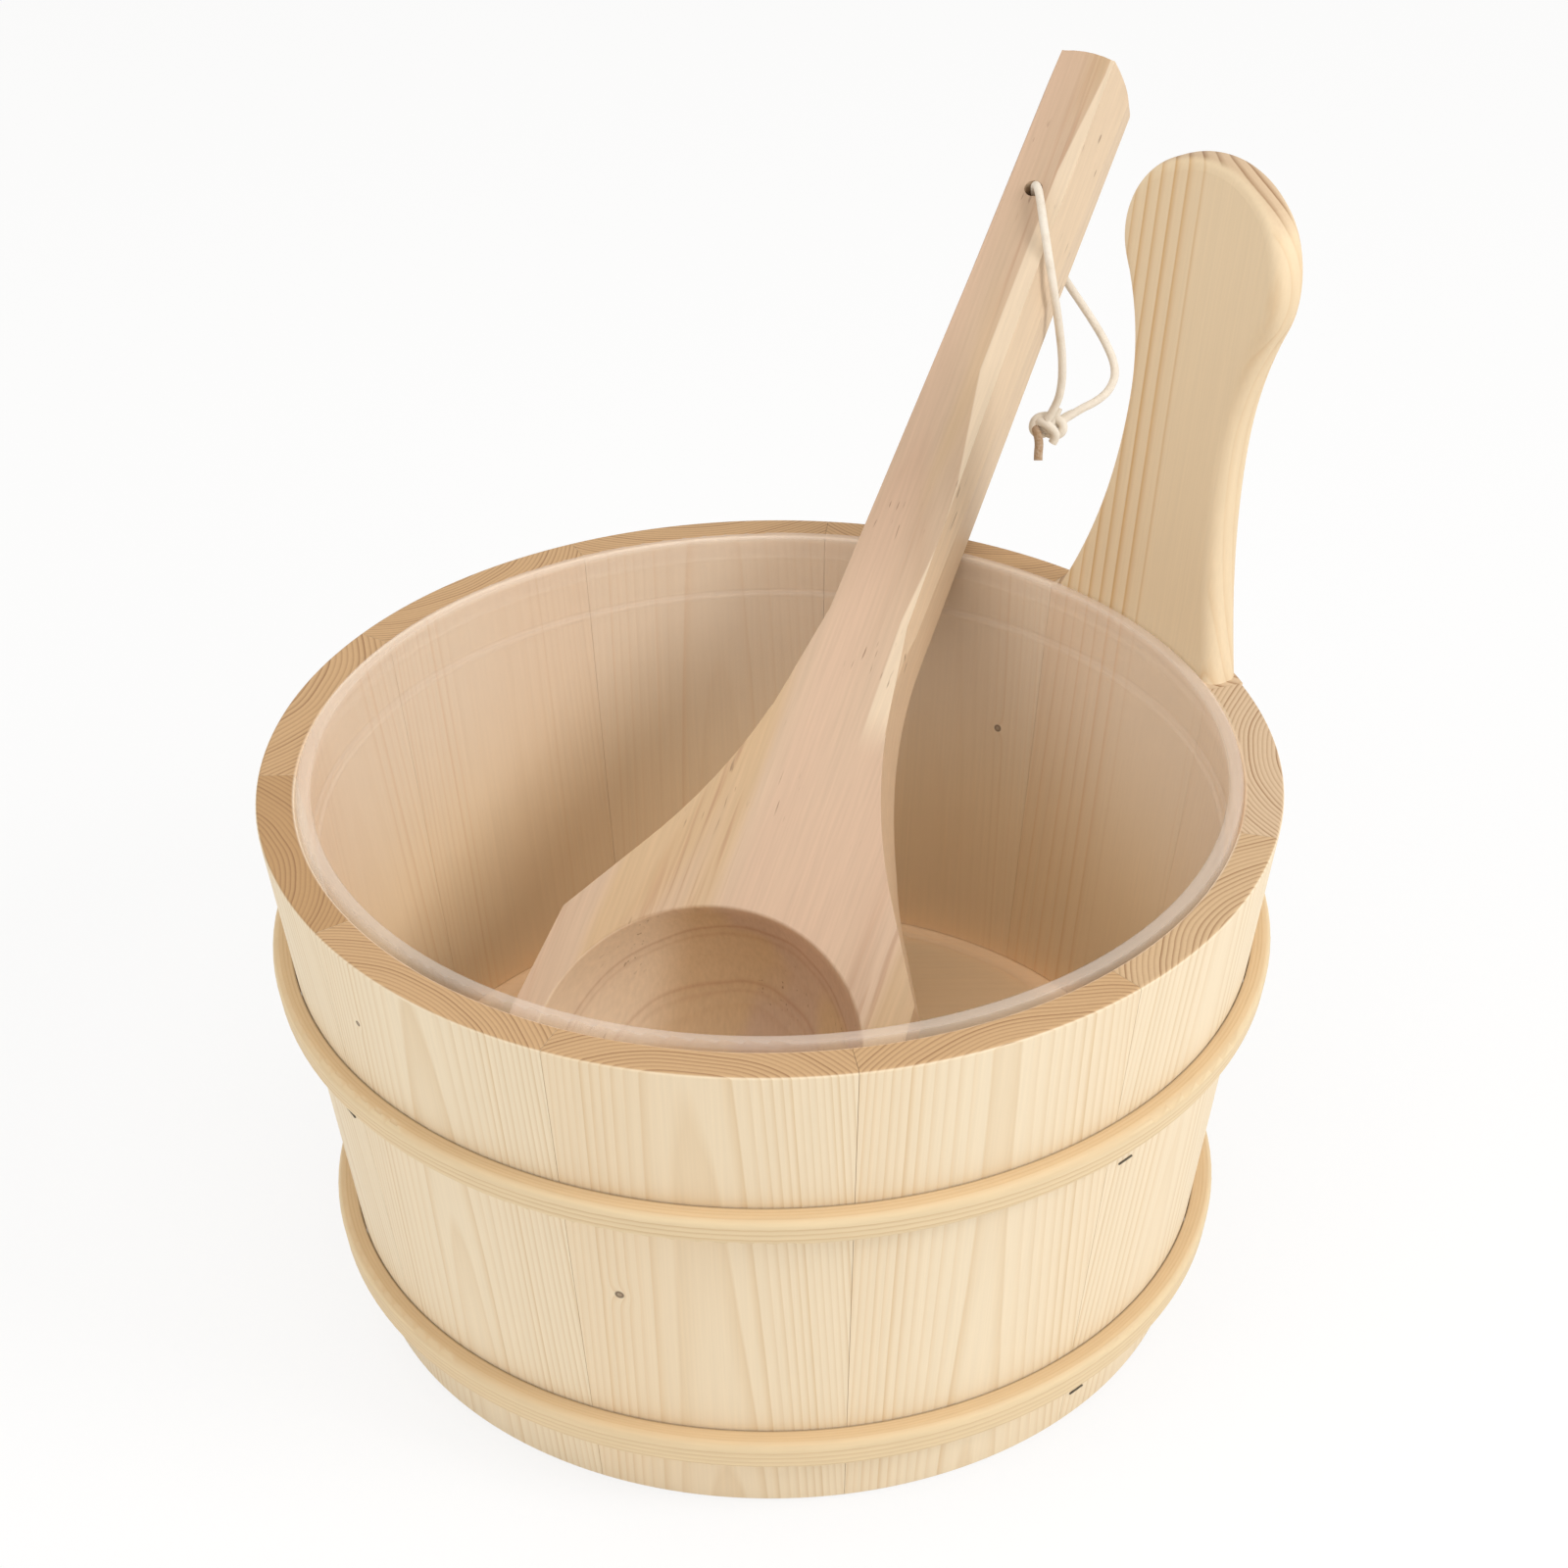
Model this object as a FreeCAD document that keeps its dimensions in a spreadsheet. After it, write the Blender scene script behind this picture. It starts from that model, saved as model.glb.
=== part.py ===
"""Stave-built wooden piggin with a plastic liner and a one-piece wooden ladle.

Millimetres. Z is up, the origin is on the pail's axis at the plane it stands on, and
the viewer of the picture looks along +Y with +X to the right.
"""

import FreeCAD, Part
import math
import os

import Sketcher
from FreeCAD import Placement, Rotation, Vector

# Driving sizes, in millimetres, degrees and counts
SIZES = {
    # Staves of the pail
    "stave_count": 11,
    "rim_radius": 125.0,
    "pail_height": 143.3,
    "stave_lean": 8.0,
    "stave_wall": 9.4,
    "stave_gap": 0.12,
    "rim_round": 0.8,
    "base_bevel": 0.8,
    # Paddle handle at the top of one stave
    "handle_azimuth": 33.1,
    "head_half_width": 30.4,
    "head_rise": 100.7,
    "cheek_radius": 22.0,
    "crown_radius": 38.5,
    "waist_half_width": 20.1,
    "neck_radius": 73.5,
    "root_half_width": 32.3,
    "handle_round": 3.6,
    # Bottom board and the groove that holds it
    "board_top": 30.9,
    "board_thickness": 12.0,
    "croze_depth": 3.5,
    "croze_clearance": 0.2,
    "board_bevel": 0.6,
    # Bent wooden hoops
    "upper_hoop_top": 102.4,
    "upper_hoop_height": 8.0,
    "upper_hoop_depth": 5.0,
    "lower_hoop_top": 25.9,
    "lower_hoop_height": 8.7,
    "lower_hoop_depth": 5.2,
    "hoop_round": 2.0,
    "hoop_clearance": 0.2,
    # Plastic liner
    "liner_wall": 1.7,
    "liner_floor": 1.8,
    "liner_clearance": 0.3,
    "liner_floor_room": 3.65,
    "liner_corner": 5.0,
    "lip_width": 4.0,
    "lip_rise": 1.8,
    "lip_depth": 7.0,
    "lip_round": 1.5,
    "step_drop": 15.3,
    "step_width": 0.8,
    # Ladle: bowl block
    "bowl_opening_radius": 42.0,
    "bowl_hollow_depth": 30.0,
    "bowl_outer_depth": 35.5,
    "bowl_half_width": 49.9,
    "bowl_corner_half_width": 47.5,
    "bowl_corner_offset": 30.0,
    "bowl_front": 50.0,
    "bowl_front_half_width": 25.0,
    "bowl_side_height": 11.0,
    "bowl_rim_round": 0.8,
    "keel_start": 3.2,
    "keel_end": 45.0,
    "keel_front_radius": 54.0,
    # Ladle: handle
    "shoulder_half_width": 34.0,
    "shoulder_offset": 52.4,
    "ladle_neck_end": 128.6,
    "grip_half_width": 12.4,
    "grip_middle": 240.0,
    "grip_middle_half_width": 11.8,
    "grip_end": 305.5,
    "grip_end_half_width": 12.0,
    "tip_half_width": 7.0,
    "tip_shoulder": 310.3,
    "tip_end": 311.3,
    "grip_thickness": 19.4,
    "throat_end": 118.0,
    "bevel_start": 98.0,
    "bevel_at_start": 0.2,
    "bevel_at_neck": 1.7,
    "bevel_at_middle": 3.4,
    "bevel_at_tip": 4.4,
    "bevel_steepness": 3.0,
    "hole_radius": 2.5,
    "hole_distance": 265.0,
    "hole_side_offset": 0.8,
    # Ladle: how it lies in the liner
    "bowl_azimuth": 236.573,
    "bowl_wall_room": 9.32,
    "ladle_azimuth": 24.94,
    "ladle_roll": 4.93,
    "ladle_clearance": 0.3,
    # Hanging thong
    "thong_radius": 1.15,
    "knot_radius": 3.4,
    "knot_length": 8.8,
    "knot_round": 2.4,
    # One overrun for every cut
    "overrun": 5.0,
}

# Sizes that follow from the driving ones, as formulas for the second sheet
WORKED_OUT = {
    # Staves
    "pitch_angle": "360 / size.stave_count",
    "stave_angle": "360 / size.stave_count - size.stave_gap / size.rim_radius * 180 / pi",
    "slope": "tan(size.stave_lean)",
    "base_radius": "size.rim_radius - fit.slope * size.pail_height",
    "base_inner": "fit.base_radius - size.stave_wall",
    "rim_inner": "size.rim_radius - size.stave_wall",
    # Paddle handle
    "head_z": "size.pail_height + size.head_rise",
    "cheek_offset": "size.head_half_width - size.cheek_radius",
    "crown_reach": "size.crown_radius - size.cheek_radius",
    "crown_drop": "sqrt(fit.crown_reach ^ 2 - fit.cheek_offset ^ 2)",
    "crown_centre": "fit.head_z - fit.crown_drop",
    "crown_x": "fit.cheek_offset * size.crown_radius / fit.crown_reach",
    "crown_z": "fit.crown_centre + fit.crown_drop * size.crown_radius / fit.crown_reach",
    "head_top": "fit.crown_centre + size.crown_radius",
    "shell_top": "fit.head_top + size.overrun",
    "shell_outer": "fit.base_radius + fit.slope * fit.shell_top",
    "shell_inner": "fit.shell_outer - size.stave_wall",
    "neck_centre": "size.waist_half_width + size.neck_radius - fit.cheek_offset",
    "neck_reach": "size.neck_radius + size.cheek_radius",
    "waist_drop": "sqrt(fit.neck_reach ^ 2 - fit.neck_centre ^ 2)",
    "waist_z": "fit.head_z - fit.waist_drop",
    "cheek_x": "fit.cheek_offset + size.cheek_radius * fit.neck_centre / fit.neck_reach",
    "cheek_z": "fit.head_z - size.cheek_radius * fit.waist_drop / fit.neck_reach",
    "root_width": "size.root_half_width - size.waist_half_width",
    "root_rise": "fit.waist_z - size.pail_height",
    "root_radius": "(fit.root_width ^ 2 + fit.root_rise ^ 2) / (2 * fit.root_width)",
    "cut_half_width": "fit.shell_outer / 2",
    "cut_top": "fit.shell_top + size.overrun",
    # Bottom board and croze
    "board_bottom": "size.board_top - size.board_thickness",
    "croze_low": "fit.board_bottom - size.croze_clearance",
    "croze_high": "size.board_top + size.croze_clearance",
    "croze_low_radius": "fit.base_inner + fit.slope * fit.croze_low + size.croze_depth",
    "croze_high_radius": "fit.base_inner + fit.slope * fit.croze_high + size.croze_depth",
    "croze_start": "fit.base_inner - size.overrun",
    "board_low_radius": "fit.croze_low_radius - size.croze_clearance",
    "board_high_radius": "fit.croze_high_radius - size.croze_clearance",
    # Hoops
    "hoop_base": "fit.base_radius + size.hoop_clearance",
    "upper_hoop_low": "size.upper_hoop_top - size.upper_hoop_height",
    "upper_hoop_in_top": "fit.hoop_base + fit.slope * size.upper_hoop_top",
    "upper_hoop_in_low": "fit.hoop_base + fit.slope * fit.upper_hoop_low",
    "upper_hoop_out_top": "fit.upper_hoop_in_top + size.upper_hoop_depth",
    "upper_hoop_out_low": "fit.upper_hoop_in_low + size.upper_hoop_depth",
    "lower_hoop_low": "size.lower_hoop_top - size.lower_hoop_height",
    "lower_hoop_in_top": "fit.hoop_base + fit.slope * size.lower_hoop_top",
    "lower_hoop_in_low": "fit.hoop_base + fit.slope * fit.lower_hoop_low",
    "lower_hoop_out_top": "fit.lower_hoop_in_top + size.lower_hoop_depth",
    "lower_hoop_out_low": "fit.lower_hoop_in_low + size.lower_hoop_depth",
    # Liner
    "liner_base": "fit.base_inner - size.liner_clearance",
    "liner_bottom": "size.board_top + size.liner_clearance",
    "liner_floor_top": "fit.liner_bottom + size.liner_floor",
    "lip_top": "size.pail_height + size.lip_rise",
    "lip_low": "fit.lip_top - size.lip_depth",
    "lip_out_top": "fit.rim_inner - size.liner_clearance",
    "lip_out_low": "fit.liner_base + fit.slope * fit.lip_low",
    "lip_in": "fit.lip_out_top - size.lip_width",
    "collar_out": "fit.lip_in + size.liner_wall",
    "step_z": "size.pail_height - size.step_drop",
    "step_low": "fit.step_z - size.step_width",
    "taper_in": "fit.lip_in - size.step_width",
    "taper_out": "fit.taper_in + size.liner_wall",
    "liner_floor_out": "fit.base_inner + fit.slope * fit.liner_floor_top"
    " - size.liner_floor_room",
    "liner_floor_radius": "fit.liner_floor_out - size.liner_wall",
    "liner_corner_out": "size.liner_corner + size.liner_wall",
    # Ladle
    "bowl_offset": "fit.liner_floor_radius - size.bowl_half_width - size.bowl_wall_room",
    "bowl_centre_x": "fit.bowl_offset * cos(size.bowl_azimuth)",
    "bowl_centre_y": "fit.bowl_offset * sin(size.bowl_azimuth)",
    "hollow_radius": "(size.bowl_opening_radius ^ 2 + size.bowl_hollow_depth ^ 2)"
    " / (2 * size.bowl_hollow_depth)",
    "belly_sag": "size.bowl_outer_depth - size.bowl_side_height",
    "belly_radius": "(size.bowl_half_width ^ 2 + fit.belly_sag ^ 2) / (2 * fit.belly_sag)",
    "block_side": "size.bowl_half_width + size.overrun",
    "block_bottom": "size.bowl_outer_depth + size.overrun",
    "block_front": "size.bowl_front + size.overrun",
    "block_back": "size.tip_end + size.overrun",
    "keel_front_run": "size.bowl_front - size.keel_start",
    "keel_front_depth": "size.bowl_outer_depth - size.keel_front_radius"
    " + sqrt(size.keel_front_radius ^ 2 - fit.keel_front_run ^ 2)",
    "throat_drop": "size.bowl_outer_depth - size.grip_thickness",
    "throat_run": "size.throat_end - size.keel_end",
    "throat_radius": "(fit.throat_run ^ 2 + fit.throat_drop ^ 2) / (4 * fit.throat_drop)",
    "throat_middle": "(size.keel_end + size.throat_end) / 2",
    "throat_middle_depth": "(size.bowl_outer_depth + size.grip_thickness) / 2",
    "tip_radius": "(size.tip_half_width ^ 2 + (size.tip_end - size.tip_shoulder) ^ 2)"
    " / (2 * (size.tip_end - size.tip_shoulder))",
    "tip_corner": "size.grip_end_half_width - size.tip_half_width",
    "tip_corner_radius": "(fit.tip_corner ^ 2 + (size.tip_shoulder - size.grip_end) ^ 2)"
    " / (2 * fit.tip_corner)",
    "shoulder_width": "size.shoulder_half_width - size.grip_half_width",
    "shoulder_run": "size.ladle_neck_end - size.shoulder_offset",
    "ladle_neck_radius": "(fit.shoulder_width ^ 2 + fit.shoulder_run ^ 2)"
    " / (2 * fit.shoulder_width)",
    "neck_half_width": "size.grip_half_width + fit.ladle_neck_radius"
    " - sqrt(fit.ladle_neck_radius ^ 2 - (size.ladle_neck_end - size.bevel_start) ^ 2)",
}

# Stations of the long bevel on the grip: place along it, half-width there, bevel there
BEVEL_STATIONS = {
    "start": ("size.bevel_start", "fit.neck_half_width", "size.bevel_at_start"),
    "neck": ("size.ladle_neck_end", "size.grip_half_width", "size.bevel_at_neck"),
    "middle": ("size.grip_middle", "size.grip_middle_half_width", "size.bevel_at_middle"),
    "tip": ("fit.block_back", "size.grip_end_half_width", "size.bevel_at_tip"),
}
for station, (place, half_width, bevel) in BEVEL_STATIONS.items():
    WORKED_OUT[f"bevel_{station}_inner"] = (
        f"{half_width} - {bevel} - size.overrun / size.bevel_steepness"
    )
    WORKED_OUT[f"bevel_{station}_outer"] = f"{half_width} + size.overrun"
    WORKED_OUT[f"bevel_{station}_low"] = (
        f"({bevel} + size.overrun) * size.bevel_steepness"
    )

# Route of the thong from the hole's upper mouth, in row axes; its points stay as chosen
THONG_ROUTE = [
    (3.7, -23.9, -58.3),
    (6.2, -23.4, -54.3),
    (7.6, -23.0, -48.4),
    (7.5, -22.8, -39.8),
    (6.2, -23.2, -30.0),
    (4.0, -24.2, -17.6),
    (1.9, -17.2, -6.0),
    (1.2, -7.9, -2.3),
    (-0.2, -0.8, 1.6),
    (0.5, 1.9, -3.0),
    (2.3, 8.4, -13.1),
    (3.2, 11.0, -17.6),
    (5.6, 8.6, -23.0),
    (10.2, 4.9, -30.2),
    (15.7, -1.0, -36.6),
    (20.9, -7.3, -43.3),
    (23.6, -12.1, -49.4),
    (21.7, -15.2, -53.7),
    (17.7, -18.2, -55.8),
    (12.5, -20.4, -57.2),
    (6.9, -22.6, -60.2),
]
KNOT_CENTRE = (3.4, -23.1, -61.1)
LONG_TAIL = [(2.9, -23.1, -62.6), (2.2, -23.1, -67.2), (2.2, -23.3, -71.1)]
SHORT_TAIL = [(4.9, -23.1, -62.6), (5.3, -23.1, -64.5), (5.6, -23.1, -66.6)]

# Share of the shorter of two runs that the arc between them takes up
ARC_SHARE = 0.45
# How near an edge's place must be to count as the one looked for
NEAR = 0.02
# Tilts between which the ladle's resting one is looked for, and halvings of that range
FLATTEST_TILT, STEEPEST_TILT = 10.0, 60.0
TILT_HALVINGS = 24
# Degrees round the lip at which its room under the grip is measured
LIP_DEGREES = range(0, 180)

doc = FreeCAD.newDocument("piggin")


def fill_sheet(name, entries):
    """Spreadsheet with one named cell for each entry."""
    sheet = doc.addObject("Spreadsheet::Sheet", name)
    for row, (alias, content) in enumerate(entries.items(), start=1):
        sheet.set(f"A{row}", alias)
        sheet.set(f"B{row}", content)
        sheet.setAlias(f"B{row}", alias)
    doc.recompute()
    return sheet


size_sheet = fill_sheet("size", {name: str(value) for name, value in SIZES.items()})
fit_sheet = fill_sheet("fit", {name: "=" + formula for name, formula in WORKED_OUT.items()})


def number(name):
    """Value of a named size; a minus sign before the name mirrors it."""
    if name.startswith("-"):
        return -number(name[1:])
    if name == "0":
        return 0.0
    sheet = size_sheet if name in SIZES else fit_sheet
    return float(sheet.get(name))


def term(name):
    """The same named size as an expression that a property is bound to."""
    if name.startswith("-"):
        return "-" + term(name[1:])
    return f"size.{name}" if name in SIZES else f"fit.{name}"


def new_body(name):
    body = doc.addObject("PartDesign::Body", name)
    body.Label = name
    return body


def origin_plane(body, role):
    return next(item for item in body.Origin.OriginFeatures if item.Role == role)


def new_sketch(body, name, role):
    """Sketch on one of the body's own origin planes."""
    sketch = body.newObject("Sketcher::SketchObject", f"{body.Name}_{name}")
    sketch.AttachmentSupport = (origin_plane(body, role), [""])
    sketch.MapMode = "FlatFace"
    return sketch


def bind_point(sketch, geometry, vertex, x_name, y_name):
    """Hold a sketch point at named coordinates."""
    for kind, name, axis in (("DistanceX", x_name, -2), ("DistanceY", y_name, -1)):
        if name == "0":
            on_axis = Sketcher.Constraint("PointOnObject", geometry, vertex, axis)
            sketch.addConstraint(on_axis)
        else:
            distance = Sketcher.Constraint(kind, -1, 1, geometry, vertex, number(name))
            index = sketch.addConstraint(distance)
            sketch.setExpression(f"Constraints[{index}]", term(name))


def bind_radius(sketch, geometry, name):
    index = sketch.addConstraint(Sketcher.Constraint("Radius", geometry, number(name)))
    sketch.setExpression(f"Constraints[{index}]", term(name))


def arc_between(start, end, radius, side):
    """Short arc; side is 1 where its centre lies left of the way, -1 where right."""
    chord = end - start
    reach = math.sqrt(radius ** 2 - chord.Length ** 2 / 4)
    left = Vector(-chord.y, chord.x, 0).normalize()
    centre = (start + end) / 2 + left * (side * reach)
    first, last = (start, end) if side > 0 else (end, start)
    angles = [math.atan2(point.y - centre.y, point.x - centre.x) for point in (first, last)]
    if angles[1] < angles[0]:
        angles[1] += 2 * math.pi
    return Part.ArcOfCircle(Part.Circle(centre, Vector(0, 0, 1), radius), *angles)


def draw_outline(sketch, corners, arcs=None):
    """Closed outline through named corners.

    arcs gives, for the corner where an arc starts, its named radius and its side.
    """
    arcs = arcs or {}
    points = [Vector(number(x_name), number(y_name), 0) for x_name, y_name in corners]
    count = len(corners)
    start_vertex, end_vertex = [], []
    for index in range(count):
        start, end = points[index], points[(index + 1) % count]
        if index in arcs:
            radius_name, side = arcs[index]
            sketch.addGeometry(arc_between(start, end, number(radius_name), side))
            start_vertex.append(1 if side > 0 else 2)
            end_vertex.append(2 if side > 0 else 1)
        else:
            sketch.addGeometry(Part.LineSegment(start, end))
            start_vertex.append(1)
            end_vertex.append(2)
    for index in range(count):
        after = (index + 1) % count
        sketch.addConstraint(
            Sketcher.Constraint(
                "Coincident", index, end_vertex[index], after, start_vertex[after]
            )
        )
    for index, (x_name, y_name) in enumerate(corners):
        bind_point(sketch, index, start_vertex[index], x_name, y_name)
    for index, (radius_name, _) in arcs.items():
        bind_radius(sketch, index, radius_name)


def draw_circle(sketch, x_name, y_name, radius_name):
    centre = Vector(number(x_name), number(y_name), 0)
    circle = Part.Circle(centre, Vector(0, 0, 1), number(radius_name))
    index = sketch.addGeometry(circle)
    bind_point(sketch, index, 3, x_name, y_name)
    bind_radius(sketch, index, radius_name)


def turn(body, kind, name, sketch, angle="360"):
    """Revolution or Groove about the upright axis, half of it to each side."""
    feature = body.newObject(f"PartDesign::{kind}", f"{body.Name}_{name}")
    feature.Profile = sketch
    feature.ReferenceAxis = (sketch, ["V_Axis"])
    feature.Midplane = True
    feature.setExpression("Angle", angle)
    doc.recompute()
    return feature


def cut_through(body, name, sketch):
    """Pocket right through the body, both ways from the sketch."""
    feature = body.newObject("PartDesign::Pocket", f"{body.Name}_{name}")
    feature.Profile = sketch
    feature.Type = "ThroughAll"
    feature.Midplane = True
    doc.recompute()
    return feature


def soften(body, kind, name, size_name, wanted):
    """Fillet or Chamfer on the edges of the body for which wanted is true."""
    base = body.Tip
    edges = [f"Edge{i}" for i, edge in enumerate(base.Shape.Edges, start=1) if wanted(edge)]
    feature = body.newObject(f"PartDesign::{kind}", f"{body.Name}_{name}")
    feature.Base = (base, edges)
    feature.setExpression("Radius" if kind == "Fillet" else "Size", term(size_name))
    doc.recompute()
    return feature


def lies_at(edge, height):
    """True for an edge that lies level at this height."""
    box = edge.BoundBox
    return abs(box.ZMin - height) < NEAR and abs(box.ZMax - height) < NEAR


def curves_round(edge):
    """True for an arc that goes round the upright axis."""
    return isinstance(edge.Curve, Part.Circle) and abs(edge.Curve.Axis.z) > 1 - NEAR


def cut_croze(body):
    """Groove inside the stave that holds the bottom board."""
    sketch = new_sketch(body, "croze_profile", "XZ_Plane")
    draw_outline(
        sketch,
        [
            ("croze_start", "croze_low"),
            ("croze_low_radius", "croze_low"),
            ("croze_high_radius", "croze_high"),
            ("croze_start", "croze_high"),
        ],
    )
    turn(body, "Groove", "croze", sketch)


def stave_placement(number_from_handle):
    azimuth = number("handle_azimuth") + number_from_handle * number("pitch_angle")
    return Placement(Vector(), Rotation(Vector(0, 0, 1), azimuth))


def make_stave(name, number_from_handle):
    """Plain stave: a sector of the tapered shell with radial joints."""
    body = new_body(name)
    sketch = new_sketch(body, "wall_profile", "XZ_Plane")
    draw_outline(
        sketch,
        [
            ("base_inner", "0"),
            ("base_radius", "0"),
            ("rim_radius", "pail_height"),
            ("rim_inner", "pail_height"),
        ],
    )
    turn(body, "Revolution", "wall", sketch, "fit.stave_angle")
    cut_croze(body)
    rim_height = number("pail_height")
    soften(
        body, "Fillet", "rim_edges", "rim_round",
        lambda edge: lies_at(edge, rim_height) and curves_round(edge),
    )
    soften(
        body, "Chamfer", "base_edges", "base_bevel",
        lambda edge: lies_at(edge, 0) and curves_round(edge),
    )
    body.Placement = stave_placement(number_from_handle)
    return body


def make_handle_stave():
    """Stave that runs on above the rim, sawn to a paddle with a waist and a round head."""
    body = new_body("handle_stave")
    wall = new_sketch(body, "wall_profile", "XZ_Plane")
    draw_outline(
        wall,
        [
            ("base_inner", "0"),
            ("base_radius", "0"),
            ("shell_outer", "shell_top"),
            ("shell_inner", "shell_top"),
        ],
    )
    turn(body, "Revolution", "wall", wall, "fit.stave_angle")
    cut_croze(body)
    paddle = new_sketch(body, "paddle_outline", "YZ_Plane")
    draw_outline(
        paddle,
        [
            ("-cut_half_width", "pail_height"),
            ("-root_half_width", "pail_height"),
            ("-waist_half_width", "waist_z"),
            ("-cheek_x", "cheek_z"),
            ("-crown_x", "crown_z"),
            ("crown_x", "crown_z"),
            ("cheek_x", "cheek_z"),
            ("waist_half_width", "waist_z"),
            ("root_half_width", "pail_height"),
            ("cut_half_width", "pail_height"),
            ("cut_half_width", "cut_top"),
            ("-cut_half_width", "cut_top"),
        ],
        {
            1: ("root_radius", 1),
            2: ("neck_radius", 1),
            3: ("cheek_radius", -1),
            4: ("crown_radius", -1),
            5: ("cheek_radius", -1),
            6: ("neck_radius", 1),
            7: ("root_radius", 1),
        },
    )
    cut_through(body, "paddle", paddle)
    rim_height = number("pail_height")
    soften(
        body, "Fillet", "paddle_edges", "handle_round",
        lambda edge: edge.BoundBox.ZMin > rim_height - NEAR
        and edge.BoundBox.ZLength > NEAR
        and edge.BoundBox.YLength > NEAR,
    )
    soften(
        body, "Chamfer", "base_edges", "base_bevel",
        lambda edge: lies_at(edge, 0) and curves_round(edge),
    )
    body.Placement = stave_placement(0)
    return body


def make_bottom_board():
    """Round board whose rim fits the croze."""
    body = new_body("bottom_board")
    sketch = new_sketch(body, "profile", "XZ_Plane")
    draw_outline(
        sketch,
        [
            ("0", "board_bottom"),
            ("board_low_radius", "board_bottom"),
            ("board_high_radius", "board_top"),
            ("0", "board_top"),
        ],
    )
    turn(body, "Revolution", "disc", sketch)
    soften(body, "Chamfer", "rim_edges", "board_bevel", curves_round)
    return body


def make_hoop(name):
    """Bent wooden hoop seated on the tapered wall, its outer corners rounded."""
    body = new_body(name)
    sketch = new_sketch(body, "section", "XZ_Plane")
    draw_outline(
        sketch,
        [
            (f"{name}_in_low", f"{name}_low"),
            (f"{name}_out_low", f"{name}_low"),
            (f"{name}_out_top", f"{name}_top"),
            (f"{name}_in_top", f"{name}_top"),
        ],
    )
    turn(body, "Revolution", "band", sketch)
    middle = (number(f"{name}_in_top") + number(f"{name}_out_low")) / 2
    soften(
        body, "Fillet", "outer_edges", "hoop_round",
        lambda edge: curves_round(edge) and edge.Curve.Radius > middle,
    )
    return body


def make_liner():
    """Tapered plastic pail with a thick rounded lip and a small step under it."""
    body = new_body("liner")
    sketch = new_sketch(body, "profile", "XZ_Plane")
    draw_outline(
        sketch,
        [
            ("0", "liner_bottom"),
            ("liner_floor_out", "liner_bottom"),
            ("taper_out", "step_low"),
            ("collar_out", "step_z"),
            ("collar_out", "lip_low"),
            ("lip_out_low", "lip_low"),
            ("lip_out_top", "pail_height"),
            ("lip_out_top", "lip_top"),
            ("lip_in", "lip_top"),
            ("lip_in", "step_z"),
            ("taper_in", "step_z"),
            ("liner_floor_radius", "liner_floor_top"),
            ("0", "liner_floor_top"),
        ],
    )
    turn(body, "Revolution", "shell", sketch)
    lip_top = number("lip_top")
    floor_top = number("liner_floor_top")
    bottom = number("liner_bottom")
    soften(
        body, "Fillet", "lip_edges", "lip_round",
        lambda edge: lies_at(edge, lip_top) and curves_round(edge),
    )
    soften(
        body, "Fillet", "inner_corner", "liner_corner",
        lambda edge: lies_at(edge, floor_top) and curves_round(edge),
    )
    soften(
        body, "Fillet", "outer_corner", "liner_corner_out",
        lambda edge: lies_at(edge, bottom) and curves_round(edge),
    )
    return body


def draw_ladle_top(sketch):
    """Sawn outline of the ladle seen from above: angular bowl, drawn-in neck, long grip."""
    right_side = [
        ("bowl_front_half_width", "-bowl_front"),
        ("bowl_corner_half_width", "-bowl_corner_offset"),
        ("bowl_half_width", "0"),
        ("bowl_corner_half_width", "bowl_corner_offset"),
        ("shoulder_half_width", "shoulder_offset"),
        ("grip_half_width", "ladle_neck_end"),
        ("grip_middle_half_width", "grip_middle"),
        ("grip_end_half_width", "grip_end"),
        ("tip_half_width", "tip_shoulder"),
    ]
    left_side = [("-" + x_name, y_name) for x_name, y_name in reversed(right_side)]
    right_neck = right_side.index(("shoulder_half_width", "shoulder_offset"))
    left_neck = len(right_side) + left_side.index(("-grip_half_width", "ladle_neck_end"))
    draw_outline(
        sketch,
        right_side + left_side,
        {
            right_neck: ("ladle_neck_radius", -1),
            len(right_side) - 2: ("tip_corner_radius", 1),
            len(right_side) - 1: ("tip_radius", 1),
            len(right_side): ("tip_corner_radius", 1),
            left_neck: ("ladle_neck_radius", -1),
        },
    )


def draw_ladle_underside(sketch):
    """Waste below the ladle seen from its side."""
    draw_outline(
        sketch,
        [
            ("block_back", "-grip_thickness"),
            ("throat_end", "-grip_thickness"),
            ("throat_middle", "-throat_middle_depth"),
            ("keel_end", "-bowl_outer_depth"),
            ("-keel_start", "-bowl_outer_depth"),
            ("-bowl_front", "-keel_front_depth"),
            ("-block_front", "-keel_front_depth"),
            ("-block_front", "-block_bottom"),
            ("block_back", "-block_bottom"),
        ],
        {
            1: ("throat_radius", 1),
            2: ("throat_radius", -1),
            4: ("keel_front_radius", -1),
        },
    )


def draw_ladle_belly(sketch):
    """Waste outside the round belly of the bowl seen from its front."""
    draw_outline(
        sketch,
        [
            ("-block_side", "-bowl_side_height"),
            ("-bowl_half_width", "-bowl_side_height"),
            ("bowl_half_width", "-bowl_side_height"),
            ("block_side", "-bowl_side_height"),
            ("block_side", "-block_bottom"),
            ("-block_side", "-block_bottom"),
        ],
        {1: ("belly_radius", 1)},
    )


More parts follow.
